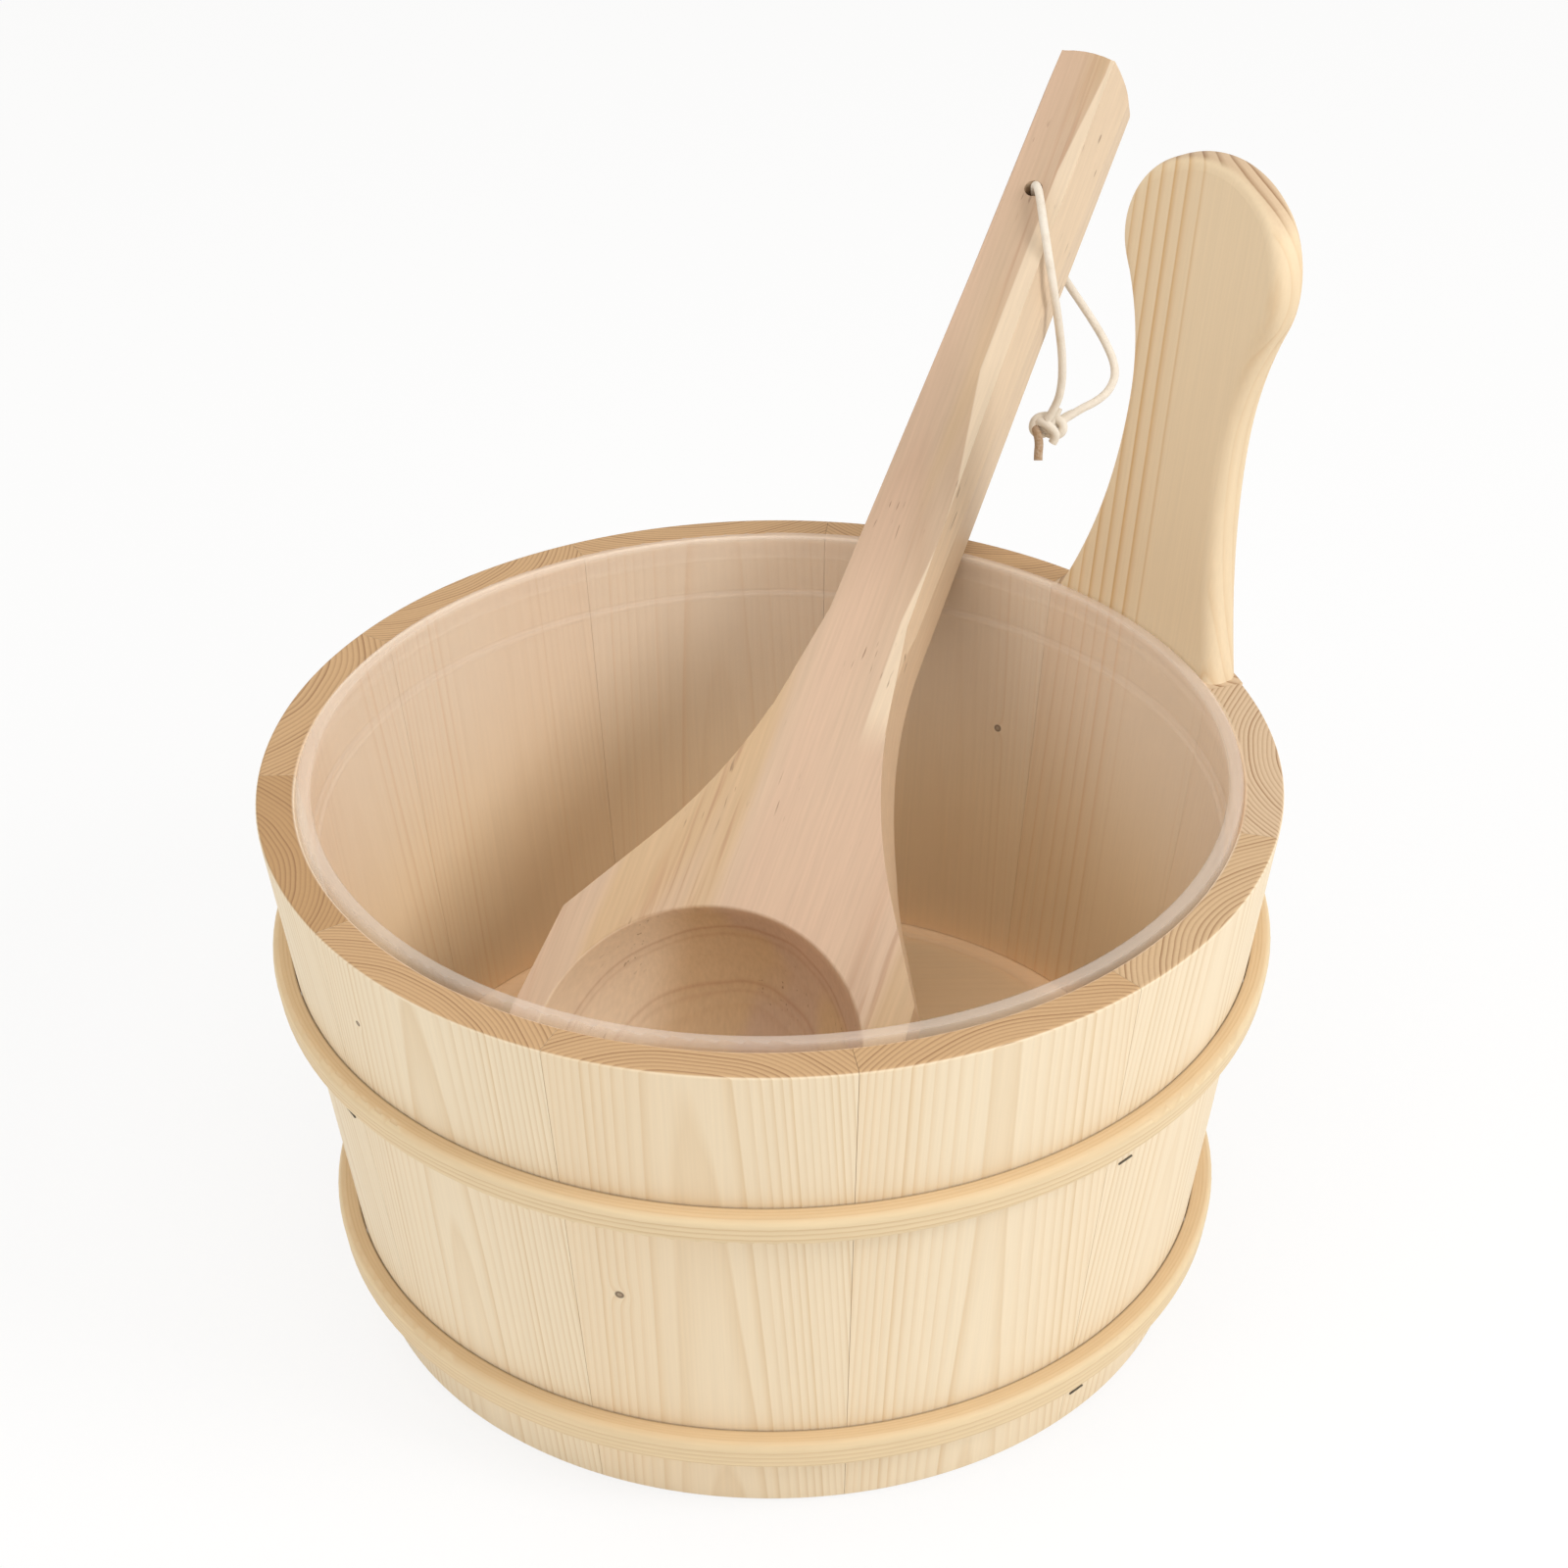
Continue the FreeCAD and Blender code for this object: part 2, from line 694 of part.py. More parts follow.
def bevel_grip(body):
    """Long bevel that grows from the neck to the tip, on both top edges."""
    sections = []
    for station, (place, _, _) in BEVEL_STATIONS.items():
        sketch = new_sketch(body, f"bevel_{station}", "XZ_Plane")
        draw_outline(
            sketch,
            [
                (f"bevel_{station}_inner", "overrun"),
                (f"bevel_{station}_outer", f"-bevel_{station}_low"),
                (f"bevel_{station}_outer", "overrun"),
            ],
        )
        sketch.setExpression("AttachmentOffset.Base.z", f"-{place}")
        sections.append(sketch)
    doc.recompute()
    loft = body.newObject("PartDesign::SubtractiveLoft", "ladle_bevel")
    loft.Profile = sections[0]
    loft.Sections = sections[1:]
    loft.Ruled = True
    doc.recompute()
    mirror = body.newObject("PartDesign::Mirrored", "ladle_bevel_mirrored")
    mirror.Originals = [loft]
    mirror.MirrorPlane = (origin_plane(body, "YZ_Plane"), [""])
    body.Tip = mirror
    doc.recompute()


def ladle_rotation(tilt):
    """Turned about the upright, then tilted up along the grip, then rolled about it."""
    return (
        Rotation(Vector(0, 0, 1), -number("ladle_azimuth"))
        .multiply(Rotation(Vector(1, 0, 0), tilt))
        .multiply(Rotation(Vector(0, 1, 0), number("ladle_roll")))
    )


def ladle_on_floor(shape, tilt):
    """Placement at this tilt with the belly just above the liner's floor."""
    turned = shape.copy()
    turned.Placement = Placement(Vector(), ladle_rotation(tilt))
    lowest = turned.optimalBoundingBox(False, False).ZMin
    height = number("liner_floor_top") + number("ladle_clearance") - lowest
    place = Vector(number("bowl_centre_x"), number("bowl_centre_y"), height)
    return Placement(place, ladle_rotation(tilt))


def room_over_lip(placement):
    """Least distance from the grip's underside to the rounded lip of the liner."""
    ring_radius = number("lip_in") + number("lip_round")
    ring_height = number("lip_top") - number("lip_round")
    into_ladle = placement.inverse()
    room = []
    for degrees in LIP_DEGREES:
        angle = math.radians(degrees)
        ring_point = Vector(
            ring_radius * math.cos(angle), ring_radius * math.sin(angle), ring_height
        )
        local = into_ladle.multVec(ring_point)
        if abs(local.x) < number("grip_half_width"):
            room.append(-number("grip_thickness") - local.z - number("lip_round"))
    return min(room)


def resting_placement(shape):
    """Tilt at which the ladle lies on the liner's floor and on its lip at once."""
    flat, steep = FLATTEST_TILT, STEEPEST_TILT
    for _ in range(TILT_HALVINGS):
        tilt = (flat + steep) / 2
        placement = ladle_on_floor(shape, tilt)
        if room_over_lip(placement) < number("ladle_clearance"):
            flat = tilt
        else:
            steep = tilt
    print(f"ladle tilt {tilt:.3f} degrees, height {placement.Base.z:.3f}")
    return placement


def make_ladle():
    """One-piece ladle, sawn in three views, with a hollowed bowl and a bevelled grip."""
    body = new_body("ladle")
    top = new_sketch(body, "top_outline", "XY_Plane")
    draw_ladle_top(top)
    block = body.newObject("PartDesign::Pad", "ladle_block")
    block.Profile = top
    block.Reversed = True
    block.setExpression("Length", "size.bowl_outer_depth")
    doc.recompute()

    underside = new_sketch(body, "underside", "YZ_Plane")
    draw_ladle_underside(underside)
    cut_through(body, "underside_cut", underside)

    belly = new_sketch(body, "belly", "XZ_Plane")
    draw_ladle_belly(belly)
    cut_through(body, "belly_cut", belly)

    hollow = new_sketch(body, "hollow_profile", "XZ_Plane")
    draw_outline(
        hollow,
        [
            ("0", "-bowl_hollow_depth"),
            ("bowl_opening_radius", "0"),
            ("0", "0"),
        ],
        {0: ("hollow_radius", 1)},
    )
    turn(body, "Groove", "hollow", hollow)
    opening = number("bowl_opening_radius")
    soften(
        body, "Fillet", "bowl_rim", "bowl_rim_round",
        lambda edge: lies_at(edge, 0)
        and curves_round(edge)
        and abs(edge.Curve.Radius - opening) < NEAR,
    )

    bevel_grip(body)

    hole = new_sketch(body, "hole_outline", "XY_Plane")
    draw_circle(hole, "-hole_side_offset", "hole_distance", "hole_radius")
    cut_through(body, "hole", hole)
    body.Placement = resting_placement(body.Tip.Shape)
    return body


def cord_path(points):
    """Straight runs joined by tangent arcs, as a wire, with the arcs' radii."""
    edges, radii = [], []
    last = points[0]
    for before, corner, after in zip(points, points[1:], points[2:]):
        coming, going = corner - before, after - corner
        setback = ARC_SHARE * min(coming.Length, going.Length)
        half_turn = coming.getAngle(going) / 2
        radius = setback / math.tan(half_turn)
        coming.normalize()
        going.normalize()
        first, end = corner - coming * setback, corner + going * setback
        inward = (going - coming).normalize()
        middle = corner + inward * (radius / math.cos(half_turn) - radius)
        edges.append(Part.LineSegment(last, first).toShape())
        edges.append(Part.Arc(first, middle, end).toShape())
        radii.append(radius)
        last = end
    edges.append(Part.LineSegment(last, points[-1]).toShape())
    return Part.Wire(edges), radii


def cord_tube(name, route):
    """Tube of the thong's thickness along a route, with its volume compared."""
    points = [Vector(*place) for place in route]
    path, radii = cord_path(points)
    thickness = number("thong_radius")
    ring = Part.Circle(points[0], points[1] - points[0], thickness)
    tube = path.makePipeShell([Part.Wire(ring.toShape())], True, False)
    expected = math.pi * thickness ** 2 * path.Length
    print(
        f"{name}: length {path.Length:.1f}, least radius {min(radii):.2f},"
        f" volume {tube.Volume:.1f} of {expected:.1f}"
    )
    print("  radii", [round(radius, 1) for radius in radii])
    if abs(tube.Volume - expected) > NEAR * expected:
        raise ValueError(f"{name}: the tube's volume is off")
    return tube


def add_shape(name, shape, placement):
    feature = doc.addObject("Part::Feature", name)
    feature.Label = name
    feature.Shape = shape
    feature.Placement = placement
    return feature


def make_thong(mouth):
    """Loop of cord from the knot over the grip's edge, through the hole and back."""
    return add_shape("thong", cord_tube("thong", THONG_ROUTE), Placement(mouth, Rotation()))


def make_knot(mouth):
    """Wrapped knot as a rounded barrel, with its two tails."""
    half_length = Vector(number("knot_length") / 2, 0, 0)
    barrel = Part.makeCylinder(
        number("knot_radius"),
        number("knot_length"),
        Vector(*KNOT_CENTRE) - half_length,
        Vector(1, 0, 0),
    )
    ends = [edge for edge in barrel.Edges if isinstance(edge.Curve, Part.Circle)]
    barrel = barrel.makeFillet(number("knot_round"), ends)
    tails = [cord_tube("long tail", LONG_TAIL), cord_tube("short tail", SHORT_TAIL)]
    return add_shape("thong_knot", barrel.fuse(tails), Placement(mouth, Rotation()))


def check_document():
    """Stop at any failed object, and at any cut that took nothing away."""
    for item in doc.Objects:
        if "Invalid" in item.State or "Error" in item.State:
            raise ValueError(f"{item.Name} failed: {item.State}")
        if item.TypeId in ("PartDesign::Pocket", "PartDesign::Groove"):
            if item.Shape.Volume >= item.BaseFeature.Shape.Volume:
                raise ValueError(f"{item.Name} cuts nothing")


def write_parts(pieces):
    os.makedirs("parts", exist_ok=True)
    for piece in pieces:
        if piece.Shape.isNull() or not piece.Shape.isValid():
            raise ValueError(f"{piece.Label} has no sound shape")
    for piece in pieces:
        piece.Shape.exportStep(f"parts/{piece.Label}.step")
        print(f"{piece.Label}: {len(piece.Shape.Solids)} solid, {piece.Shape.Volume:.0f} mm3")


handle_stave = make_handle_stave()
plain_count = SIZES["stave_count"] - 1
staves = [make_stave(f"stave_{i:02d}", i) for i in range(1, plain_count + 1)]
bottom_board = make_bottom_board()
hoops = [make_hoop("upper_hoop"), make_hoop("lower_hoop")]
liner = make_liner()
ladle = make_ladle()
hole_mouth = ladle.Placement.multVec(
    Vector(-number("hole_side_offset"), number("hole_distance"), 0)
)
thong = make_thong(hole_mouth)
knot = make_knot(hole_mouth)
doc.recompute()
check_document()
write_parts([handle_stave, *staves, bottom_board, *hoops, liner, ladle, thong, knot])
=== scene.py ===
"""Looks of the wooden piggin: woods, frosted liner, thong, staples, light and camera."""

import math

import bmesh
import bpy
from mathutils import Euler, Matrix, Vector


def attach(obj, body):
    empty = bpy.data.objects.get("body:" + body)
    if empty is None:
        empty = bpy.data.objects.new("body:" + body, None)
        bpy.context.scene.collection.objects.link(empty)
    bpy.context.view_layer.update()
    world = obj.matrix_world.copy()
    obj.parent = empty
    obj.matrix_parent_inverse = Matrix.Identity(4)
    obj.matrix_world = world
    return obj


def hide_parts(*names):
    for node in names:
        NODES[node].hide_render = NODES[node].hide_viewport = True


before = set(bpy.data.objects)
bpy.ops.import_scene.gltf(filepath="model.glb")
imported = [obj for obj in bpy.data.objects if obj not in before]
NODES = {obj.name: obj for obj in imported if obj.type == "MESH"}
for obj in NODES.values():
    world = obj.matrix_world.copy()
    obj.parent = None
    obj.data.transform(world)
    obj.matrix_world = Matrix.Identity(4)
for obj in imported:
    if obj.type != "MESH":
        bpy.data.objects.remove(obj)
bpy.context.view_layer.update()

MM = 0.001

# Pail, in metres and radians
STAVE_COUNT = 11
HANDLE_AZIMUTH = math.radians(33.1)
STAVE_LEAN = math.radians(8.0)
BASE_RADIUS = 104.86 * MM
PAIL_HEIGHT = 143.3 * MM
STAVE_WALL = 9.4 * MM
PLAIN_STAVES = [f"stave_{i:02d}" for i in range(1, STAVE_COUNT)]

# Ladle as it lies: middle of the bowl's rim plane, and its turn, tilt and roll
LADLE_PLACE = Vector((-19.57, -29.65, 75.73)) * MM
LADLE_TURN = (
    Matrix.Rotation(math.radians(-24.94), 3, "Z")
    @ Matrix.Rotation(math.radians(32.45), 3, "X")
    @ Matrix.Rotation(math.radians(4.93), 3, "Y")
)

# Thong: upper mouth of the ladle's hole, and the route's points from it, in millimetres
HOLE_MOUTH = Vector((73.98, 173.41, 218.0)) * MM
THONG_RADIUS = 1.15 * MM
THONG_ROUTE = [
    (3.7, -23.9, -58.3),
    (6.2, -23.4, -54.3),
    (7.6, -23.0, -48.4),
    (7.5, -22.8, -39.8),
    (6.2, -23.2, -30.0),
    (4.2, -24.2, -17.6),
    (2.2, -17.2, -6.0),
    (1.6, -8.6, -1.6),
    (1.0, -2.8, 1.9),
    (0.3, 1.1, 0.6),
    (1.0, 3.8, -6.0),
    (2.3, 8.4, -13.1),
    (3.2, 11.0, -17.6),
    (5.6, 8.6, -23.0),
    (10.2, 4.9, -30.2),
    (15.7, -1.0, -36.6),
    (20.9, -7.3, -43.3),
    (23.6, -12.1, -49.4),
    (21.7, -15.2, -53.7),
    (17.7, -18.2, -55.8),
    (12.5, -20.4, -57.2),
    (6.9, -22.6, -60.2),
]
KNOT_CENTRE = (3.8, -23.2, -61.3)


def srgb(red, green, blue):
    """Linear colour, with alpha 1, of an sRGB colour given as 0 to 255."""
    linear = []
    for value in (red, green, blue):
        share = value / 255
        linear.append(share / 12.92 if share <= 0.04045 else ((share + 0.055) / 1.055) ** 2.4)
    return (*linear, 1.0)


def placed(name, data):
    """New object with this data, linked to the scene."""
    made = bpy.data.objects.new(name, data)
    bpy.context.scene.collection.objects.link(made)
    return made


class Shader:
    """A material's node tree, with short calls for the nodes that the woods share."""

    def __init__(self, name):
        self.material = bpy.data.materials.new(name)
        self.material.use_nodes = True
        self.tree = self.material.node_tree
        self.tree.nodes.clear()
        self.output = self.tree.nodes.new("ShaderNodeOutputMaterial")
        self.coordinates = self.tree.nodes.new("ShaderNodeTexCoord")

    def node(self, kind, **settings):
        made = self.tree.nodes.new("ShaderNode" + kind)
        for name, value in settings.items():
            setattr(made, name, value)
        return made

    def put(self, value, socket):
        """Link a socket, or set a plain value."""
        if isinstance(value, bpy.types.NodeSocket):
            self.tree.links.new(value, socket)
        elif value is not None:
            socket.default_value = value

    def place(self):
        return self.coordinates.outputs["Object"]

    def normal(self):
        return self.coordinates.outputs["Normal"]

    def math(self, operation, first, second=None, third=None, clamp=False):
        made = self.node("Math", operation=operation, use_clamp=clamp)
        for value, socket in zip((first, second, third), made.inputs):
            self.put(value, socket)
        return made.outputs[0]

    def vector(self, operation, first, second=None):
        made = self.node("VectorMath", operation=operation)
        for value, socket in zip((first, second), made.inputs):
            self.put(value, socket)
        return made.outputs["Value" if operation in ("DOT_PRODUCT", "LENGTH") else "Vector"]

    def turned(self, place, axis, angle):
        made = self.node("VectorRotate", rotation_type=axis + "_AXIS")
        self.put(place, made.inputs["Vector"])
        made.inputs["Angle"].default_value = angle
        return made.outputs[0]

    def parts(self, place):
        made = self.node("SeparateXYZ")
        self.put(place, made.inputs[0])
        return made.outputs

    def joined(self, x, y, z):
        made = self.node("CombineXYZ")
        for value, socket in zip((x, y, z), made.inputs):
            self.put(value, socket)
        return made.outputs[0]

    def noise(self, place, scale, detail=2.0, roughness=0.5):
        """Noise about zero, from roughly -0.5 to 0.5."""
        made = self.node("TexNoise")
        self.put(place, made.inputs["Vector"])
        made.inputs["Scale"].default_value = scale
        made.inputs["Detail"].default_value = detail
        made.inputs["Roughness"].default_value = roughness
        return self.math("SUBTRACT", made.outputs["Fac"], 0.5)

    def chance(self, number):
        """Even chance from 0 to 1 that depends on a number."""
        made = self.node("TexWhiteNoise", noise_dimensions="1D")
        self.put(number, made.inputs["W"])
        return made.outputs["Value"]

    def ramp(self, value, stops):
        """Grey level along a list of places and levels."""
        made = self.node("ValToRGB")
        self.put(value, made.inputs["Fac"])
        marks = made.color_ramp.elements
        marks[0].position, marks[1].position = stops[0][0], stops[-1][0]
        for place, _ in stops[1:-1]:
            marks.new(place)
        for mark, (_, level) in zip(marks, stops):
            mark.color = (level, level, level, 1)
        return made.outputs["Color"]

    def step(self, value, low, high):
        """Smooth step from 0 at low to 1 at high."""
        made = self.node("MapRange", interpolation_type="SMOOTHSTEP")
        self.put(value, made.inputs["Value"])
        made.inputs["From Min"].default_value = low
        made.inputs["From Max"].default_value = high
        return made.outputs[0]

    def mix(self, share, first, second, blend="MIX"):
        made = self.node("Mix", data_type="RGBA", blend_type=blend)
        self.put(share, made.inputs["Factor"])
        self.put(first, made.inputs[6])
        self.put(second, made.inputs[7])
        return made.outputs[2]

    def bump(self, height, distance, strength=1.0):
        made = self.node("Bump")
        self.put(height, made.inputs["Height"])
        made.inputs["Distance"].default_value = distance
        made.inputs["Strength"].default_value = strength
        return made.outputs[0]

    def surface(self, color, roughness, normal=None, specular=0.35):
        made = self.node("BsdfPrincipled")
        self.put(color, made.inputs["Base Color"])
        self.put(roughness, made.inputs["Roughness"])
        self.put(normal, made.inputs["Normal"])
        made.inputs["Specular IOR Level"].default_value = specular
        self.put(made.outputs[0], self.output.inputs["Surface"])
        return made


# Softwood: pale early wood and tawny late wood, along the grain and across its ends
EARLY_WOOD = srgb(237, 221, 193)
LATE_WOOD = srgb(210, 178, 132)
HANDLE_EARLY = srgb(229, 208, 175)
HANDLE_LATE = srgb(200, 154, 92)
END_EARLY = srgb(198, 162, 120)
END_LATE = srgb(142, 103, 66)
# Painted shade and painted light on the rim's end grain: darker on a stave at the left, paler on
# staves at the right, where the key lamp falls
END_SHADED = srgb(184, 146, 102)
END_LIT = srgb(203, 172, 134)
END_MOST_LIT = srgb(207, 180, 148)
WARM_STREAK = srgb(231, 200, 159)
KNOT_DARK = srgb(84, 58, 36)
# Wood inside the pail: the frosted liner evens it, painted bounce light from wall to wall warms
# it, and painted light makes it paler towards the rim
INNER_WOOD_AND_BOUNCE = srgb(255, 221, 174)
INNER_PAINTED_LIGHT = srgb(255, 238, 216)
INNER_STREAK = srgb(232, 174, 112)
# Its share low on the wall, and how much less it is at the rim
INNER_SHARE = 0.76
INNER_SHARE_LOSS = 0.2
# Level of late wood through one ring: it grows slowly and stops at once
RING_PROFILE = [(0.0, 0.0), (0.45, 0.08), (0.8, 0.75), (0.9, 1.0), (1.0, 0.0)]
# Rings of the handle's stave, with broad late wood
WIDE_RING_PROFILE = [(0.0, 0.0), (0.5, 0.1), (0.78, 0.6), (0.9, 1.0), (1.0, 0.0)]
STRONGEST_RING = 1.05
# How much fainter late wood is on the stave's narrow sides
SIDE_PLAINNESS = 0.6
# How much fainter it is where a face runs along a ring, and how near the pith's line that starts
FLAT_PLAINNESS = 0.4
FLAT_START, FLAT_END = 13 * MM, 3 * MM
PLAIN_HEART_EDGE = 1.5 * MM
# Noises of the grain: their scales, and how far they stretch along it
GRAIN_STRETCH = 0.09
DRIFT_SCALE = 16.0
WAVER_SCALE = 60.0
BROAD_SCALE = 9.0
FIBRE_STRETCH = 0.02
FIBRE_SCALE = 1400.0
SECOND_SEED = 0.7
# Shares of the streaks, the knots and the fibres' shade in the colour
WARM_STREAK_SHARE = 0.35
INNER_STREAK_SHARE = 0.42
KNOT_SHARE = 0.85
FIBRE_SHADE = 0.10
# Height on the inner wall over which painted light turns it paler
INNER_LIGHT_RISE = (55 * MM, 135 * MM)
# Relief of the grain, and the roughness of early wood and what late wood takes off it
WOOD_ROUGHNESS = 0.62
LATE_SMOOTHNESS = 0.08
FIBRE_HEIGHT = 0.4
WOOD_RELIEF = 0.06 * MM
RELIEF_STRENGTH = 0.5
# A dead knot: dark, with a darker rim, and rings that swirl round it
KNOT_PROFILE = [(0.0, 0.8), (0.3, 0.65), (0.5, 0.95), (0.7, 1.0), (0.95, 0.0)]
KNOT_SWIRL = 1.2


def ring_level(shader, rings, weakest=0.35, profile=RING_PROFILE):
    """Late wood from 0 to 1, with some rings stronger than others."""
    level = shader.ramp(shader.math("FRACT", rings), profile)
    chance = shader.chance(shader.math("FLOOR", rings))
    strength = shader.math("MULTIPLY_ADD", chance, STRONGEST_RING - weakest, weakest)
    return shader.math("MULTIPLY", level, strength)


def shaded(shader, color, fibre, share):
    """Colour made a little lighter and darker by the fibres."""
    shade = shader.math("MULTIPLY_ADD", fibre, share, 1.0)
    return shader.mix(1.0, color, shader.joined(shade, shade, shade), blend="MULTIPLY")


def tree_rings(shader, inward, across, along, seeded, figure):
    """Number of rings from the pith, the distance to the pith, and the way to its side."""
    drift = shader.noise(seeded, DRIFT_SCALE)
    waver = shader.noise(seeded, WAVER_SCALE, detail=3.0)
    pith_depth = shader.math("MULTIPLY_ADD", along, figure["dip"], figure["pith"])
    depth = shader.math("ADD", shader.math("ADD", inward, pith_depth),
                        shader.math("MULTIPLY", drift, figure["drift"]))
    side = shader.math("SUBTRACT", shader.math("SUBTRACT", across, figure["side"]),
                       shader.math("MULTIPLY", along, figure["slant"]))
    reach = shader.math("SQRT", shader.math("ADD", shader.math("POWER", depth, 2.0),
                                            shader.math("MULTIPLY", side, side)))
    rings = shader.math("DIVIDE", reach, figure["ring"])
    return shader.math("MULTIPLY_ADD", waver, figure["waver"], rings), reach, side


def dead_knots(shader, rings, across, along, knots):
    """Rings that swirl round the knots, and how dark the knots are, or None without knots."""
    dark = None
    for knot_across, knot_along, radius in knots:
        away = shader.joined(0.0, shader.math("SUBTRACT", across, knot_across),
                             shader.math("SUBTRACT", along, knot_along))
        near = shader.math("DIVIDE", shader.vector("LENGTH", away), radius)
        swirl = shader.math("DIVIDE", KNOT_SWIRL, shader.math("MULTIPLY_ADD", near, near, 1.0))
        rings = shader.math("ADD", rings, swirl)
        spot = shader.ramp(near, KNOT_PROFILE)
        dark = spot if dark is None else shader.math("MAXIMUM", dark, spot)
    return rings, dark


def late_wood(shader, level, reach, side, side_share, figure):
    """Share of late wood on the long faces."""
    along_ring = shader.step(shader.math("ABSOLUTE", side), FLAT_START, FLAT_END)
    level = shader.math("MULTIPLY", level,
                        shader.math("MULTIPLY_ADD", along_ring, -FLAT_PLAINNESS, 1.0))
    heart = figure["plain_heart"]
    if heart:
        outside = shader.step(reach, heart, heart + PLAIN_HEART_EDGE)
        outside = shader.math("MAXIMUM", outside, side_share)
        level = shader.math("MULTIPLY", level, outside)
    share = shader.math("MULTIPLY", level, figure["contrast"])
    if side_share is not None:
        plainer = shader.math("MULTIPLY_ADD", side_share, -SIDE_PLAINNESS, 1.0)
        share = shader.math("MULTIPLY", share, plainer)
    return share


def inner_wood_and_light(shader, color, inner_share, figure_share):
    """Inner faces evened, warmed by painted bounce light, and paler at the rim by painted light.
    """
    rise = shader.step(shader.parts(shader.place())[2], *INNER_LIGHT_RISE)
    # Painted light: warm bounce light low on the inner wall, paler light towards the rim
    inner_lit_color = shader.mix(rise, INNER_WOOD_AND_BOUNCE, INNER_PAINTED_LIGHT)
    evened = shader.math("MULTIPLY_ADD", rise, -INNER_SHARE_LOSS, INNER_SHARE)
    color = shader.mix(shader.math("MULTIPLY", inner_share, evened), color, inner_lit_color)
    streak = shader.math("MULTIPLY", figure_share, INNER_STREAK_SHARE)
    return shader.mix(shader.math("MULTIPLY", streak, inner_share), color, INNER_STREAK)


def softwood(shader, inward, across, along, figure, end_share, inner_share, knots=(),
             side_share=None):
    """Spruce colour, roughness and bump from the distance to the tree's pith."""
    stretched = shader.joined(inward, across, shader.math("MULTIPLY", along, GRAIN_STRETCH))
    seed = figure["seed"]
    seeded = shader.vector("ADD", stretched, (seed, seed * SECOND_SEED, 0.0))
    rings, reach, side = tree_rings(shader, inward, across, along, seeded, figure)
    rings, dark = dead_knots(shader, rings, across, along, knots)
    level = ring_level(shader, rings, figure["weakest"], figure["profile"])
    late_share = late_wood(shader, level, reach, side, side_share, figure)
    broad = shader.step(shader.noise(seeded, BROAD_SCALE, detail=1.0), -0.2, 0.3)
    fibre_place = shader.joined(inward, across, shader.math("MULTIPLY", along, FIBRE_STRETCH))
    fibre = shader.noise(fibre_place, FIBRE_SCALE, detail=2.0)

    long_color = shader.mix(late_share, figure["early"], figure["late"])
    streak = shader.math("MULTIPLY", broad, WARM_STREAK_SHARE)
    long_color = shader.mix(streak, long_color, WARM_STREAK)
    end_color = shader.mix(level, figure["end"], END_LATE)
    color = shader.mix(end_share, long_color, end_color)
    color = inner_wood_and_light(shader, color, inner_share, shader.math("MAXIMUM", broad, late_share))
    if dark is not None:
        color = shader.mix(shader.math("MULTIPLY", dark, KNOT_SHARE), color, KNOT_DARK)
    color = shaded(shader, color, fibre, FIBRE_SHADE)
    roughness = shader.math("MULTIPLY_ADD", level, -LATE_SMOOTHNESS, WOOD_ROUGHNESS)
    height = shader.math("MULTIPLY_ADD", fibre, FIBRE_HEIGHT, level)
    shader.surface(color, roughness, shader.bump(height, WOOD_RELIEF, RELIEF_STRENGTH))


def stave_wood(name, azimuth, figure, knots=()):
    """Softwood whose grain runs up one leaning stave."""
    shader = Shader(name)
    turned = shader.turned(shader.place(), "Z", -azimuth)
    upright = shader.parts(shader.turned(turned, "Y", -STAVE_LEAN))
    face = BASE_RADIUS * math.cos(STAVE_LEAN)
    inward = shader.math("SUBTRACT", face, upright[0])
    grain = Vector((math.sin(STAVE_LEAN), 0, math.cos(STAVE_LEAN)))
    grain.rotate(Euler((0, 0, azimuth)))
    end_share = shader.step(facing_share(shader, grain), 0.55, 0.95)
    sideways = (-math.sin(azimuth), math.cos(azimuth), 0.0)
    side_share = shader.step(facing_share(shader, sideways), 0.25, 0.75)
    softwood(shader, inward, upright[1], upright[2], figure, end_share, inside_pail(shader), knots,
             side_share)
    return shader.material


def facing_share(shader, direction):
    """How squarely a face looks along a direction, either way: 0 to 1."""
    turned = shader.vector("DOT_PRODUCT", shader.normal(), tuple(direction))
    return shader.math("ABSOLUTE", turned)


def wall_depth(shader):
    """Distance in from the pail's outer wall, square to its axis, and the height."""
    x, y, z = shader.parts(shader.place())
    radius = shader.vector("LENGTH", shader.joined(x, y, 0.0))
    outer = shader.math("MULTIPLY_ADD", z, math.tan(STAVE_LEAN), BASE_RADIUS)
    return shader.math("SUBTRACT", outer, radius), z


def inside_pail(shader):
    """1 on the inner faces below the rim, and 0 elsewhere."""
    depth, height = wall_depth(shader)
    inner = shader.step(depth, STAVE_WALL - 0.8 * MM, STAVE_WALL - 0.2 * MM)
    below = shader.step(height, PAIL_HEIGHT + 0.5 * MM, PAIL_HEIGHT - 0.5 * MM)
    return shader.math("MULTIPLY", inner, below)


def figure(seed, pith=39, side=0, ring=1.25, dip=0.012, slant=0.0, **looks):
    """Where a stave lay in its tree: pith's distance and side, ring width, and their slopes."""
    return {
        "seed": seed,
        "pith": pith * MM,
        "side": side * MM,
        "ring": ring * MM,
        "dip": dip,
        "slant": slant,
        "drift": 10 * MM,
        "waver": 0.5,
        "weakest": 0.35,
        "contrast": 0.68,
        "late": LATE_WOOD,
        "profile": RING_PROFILE,
        "plain_heart": 0.0,
        "early": EARLY_WOOD,
        "end": END_EARLY,
        **looks,
    }
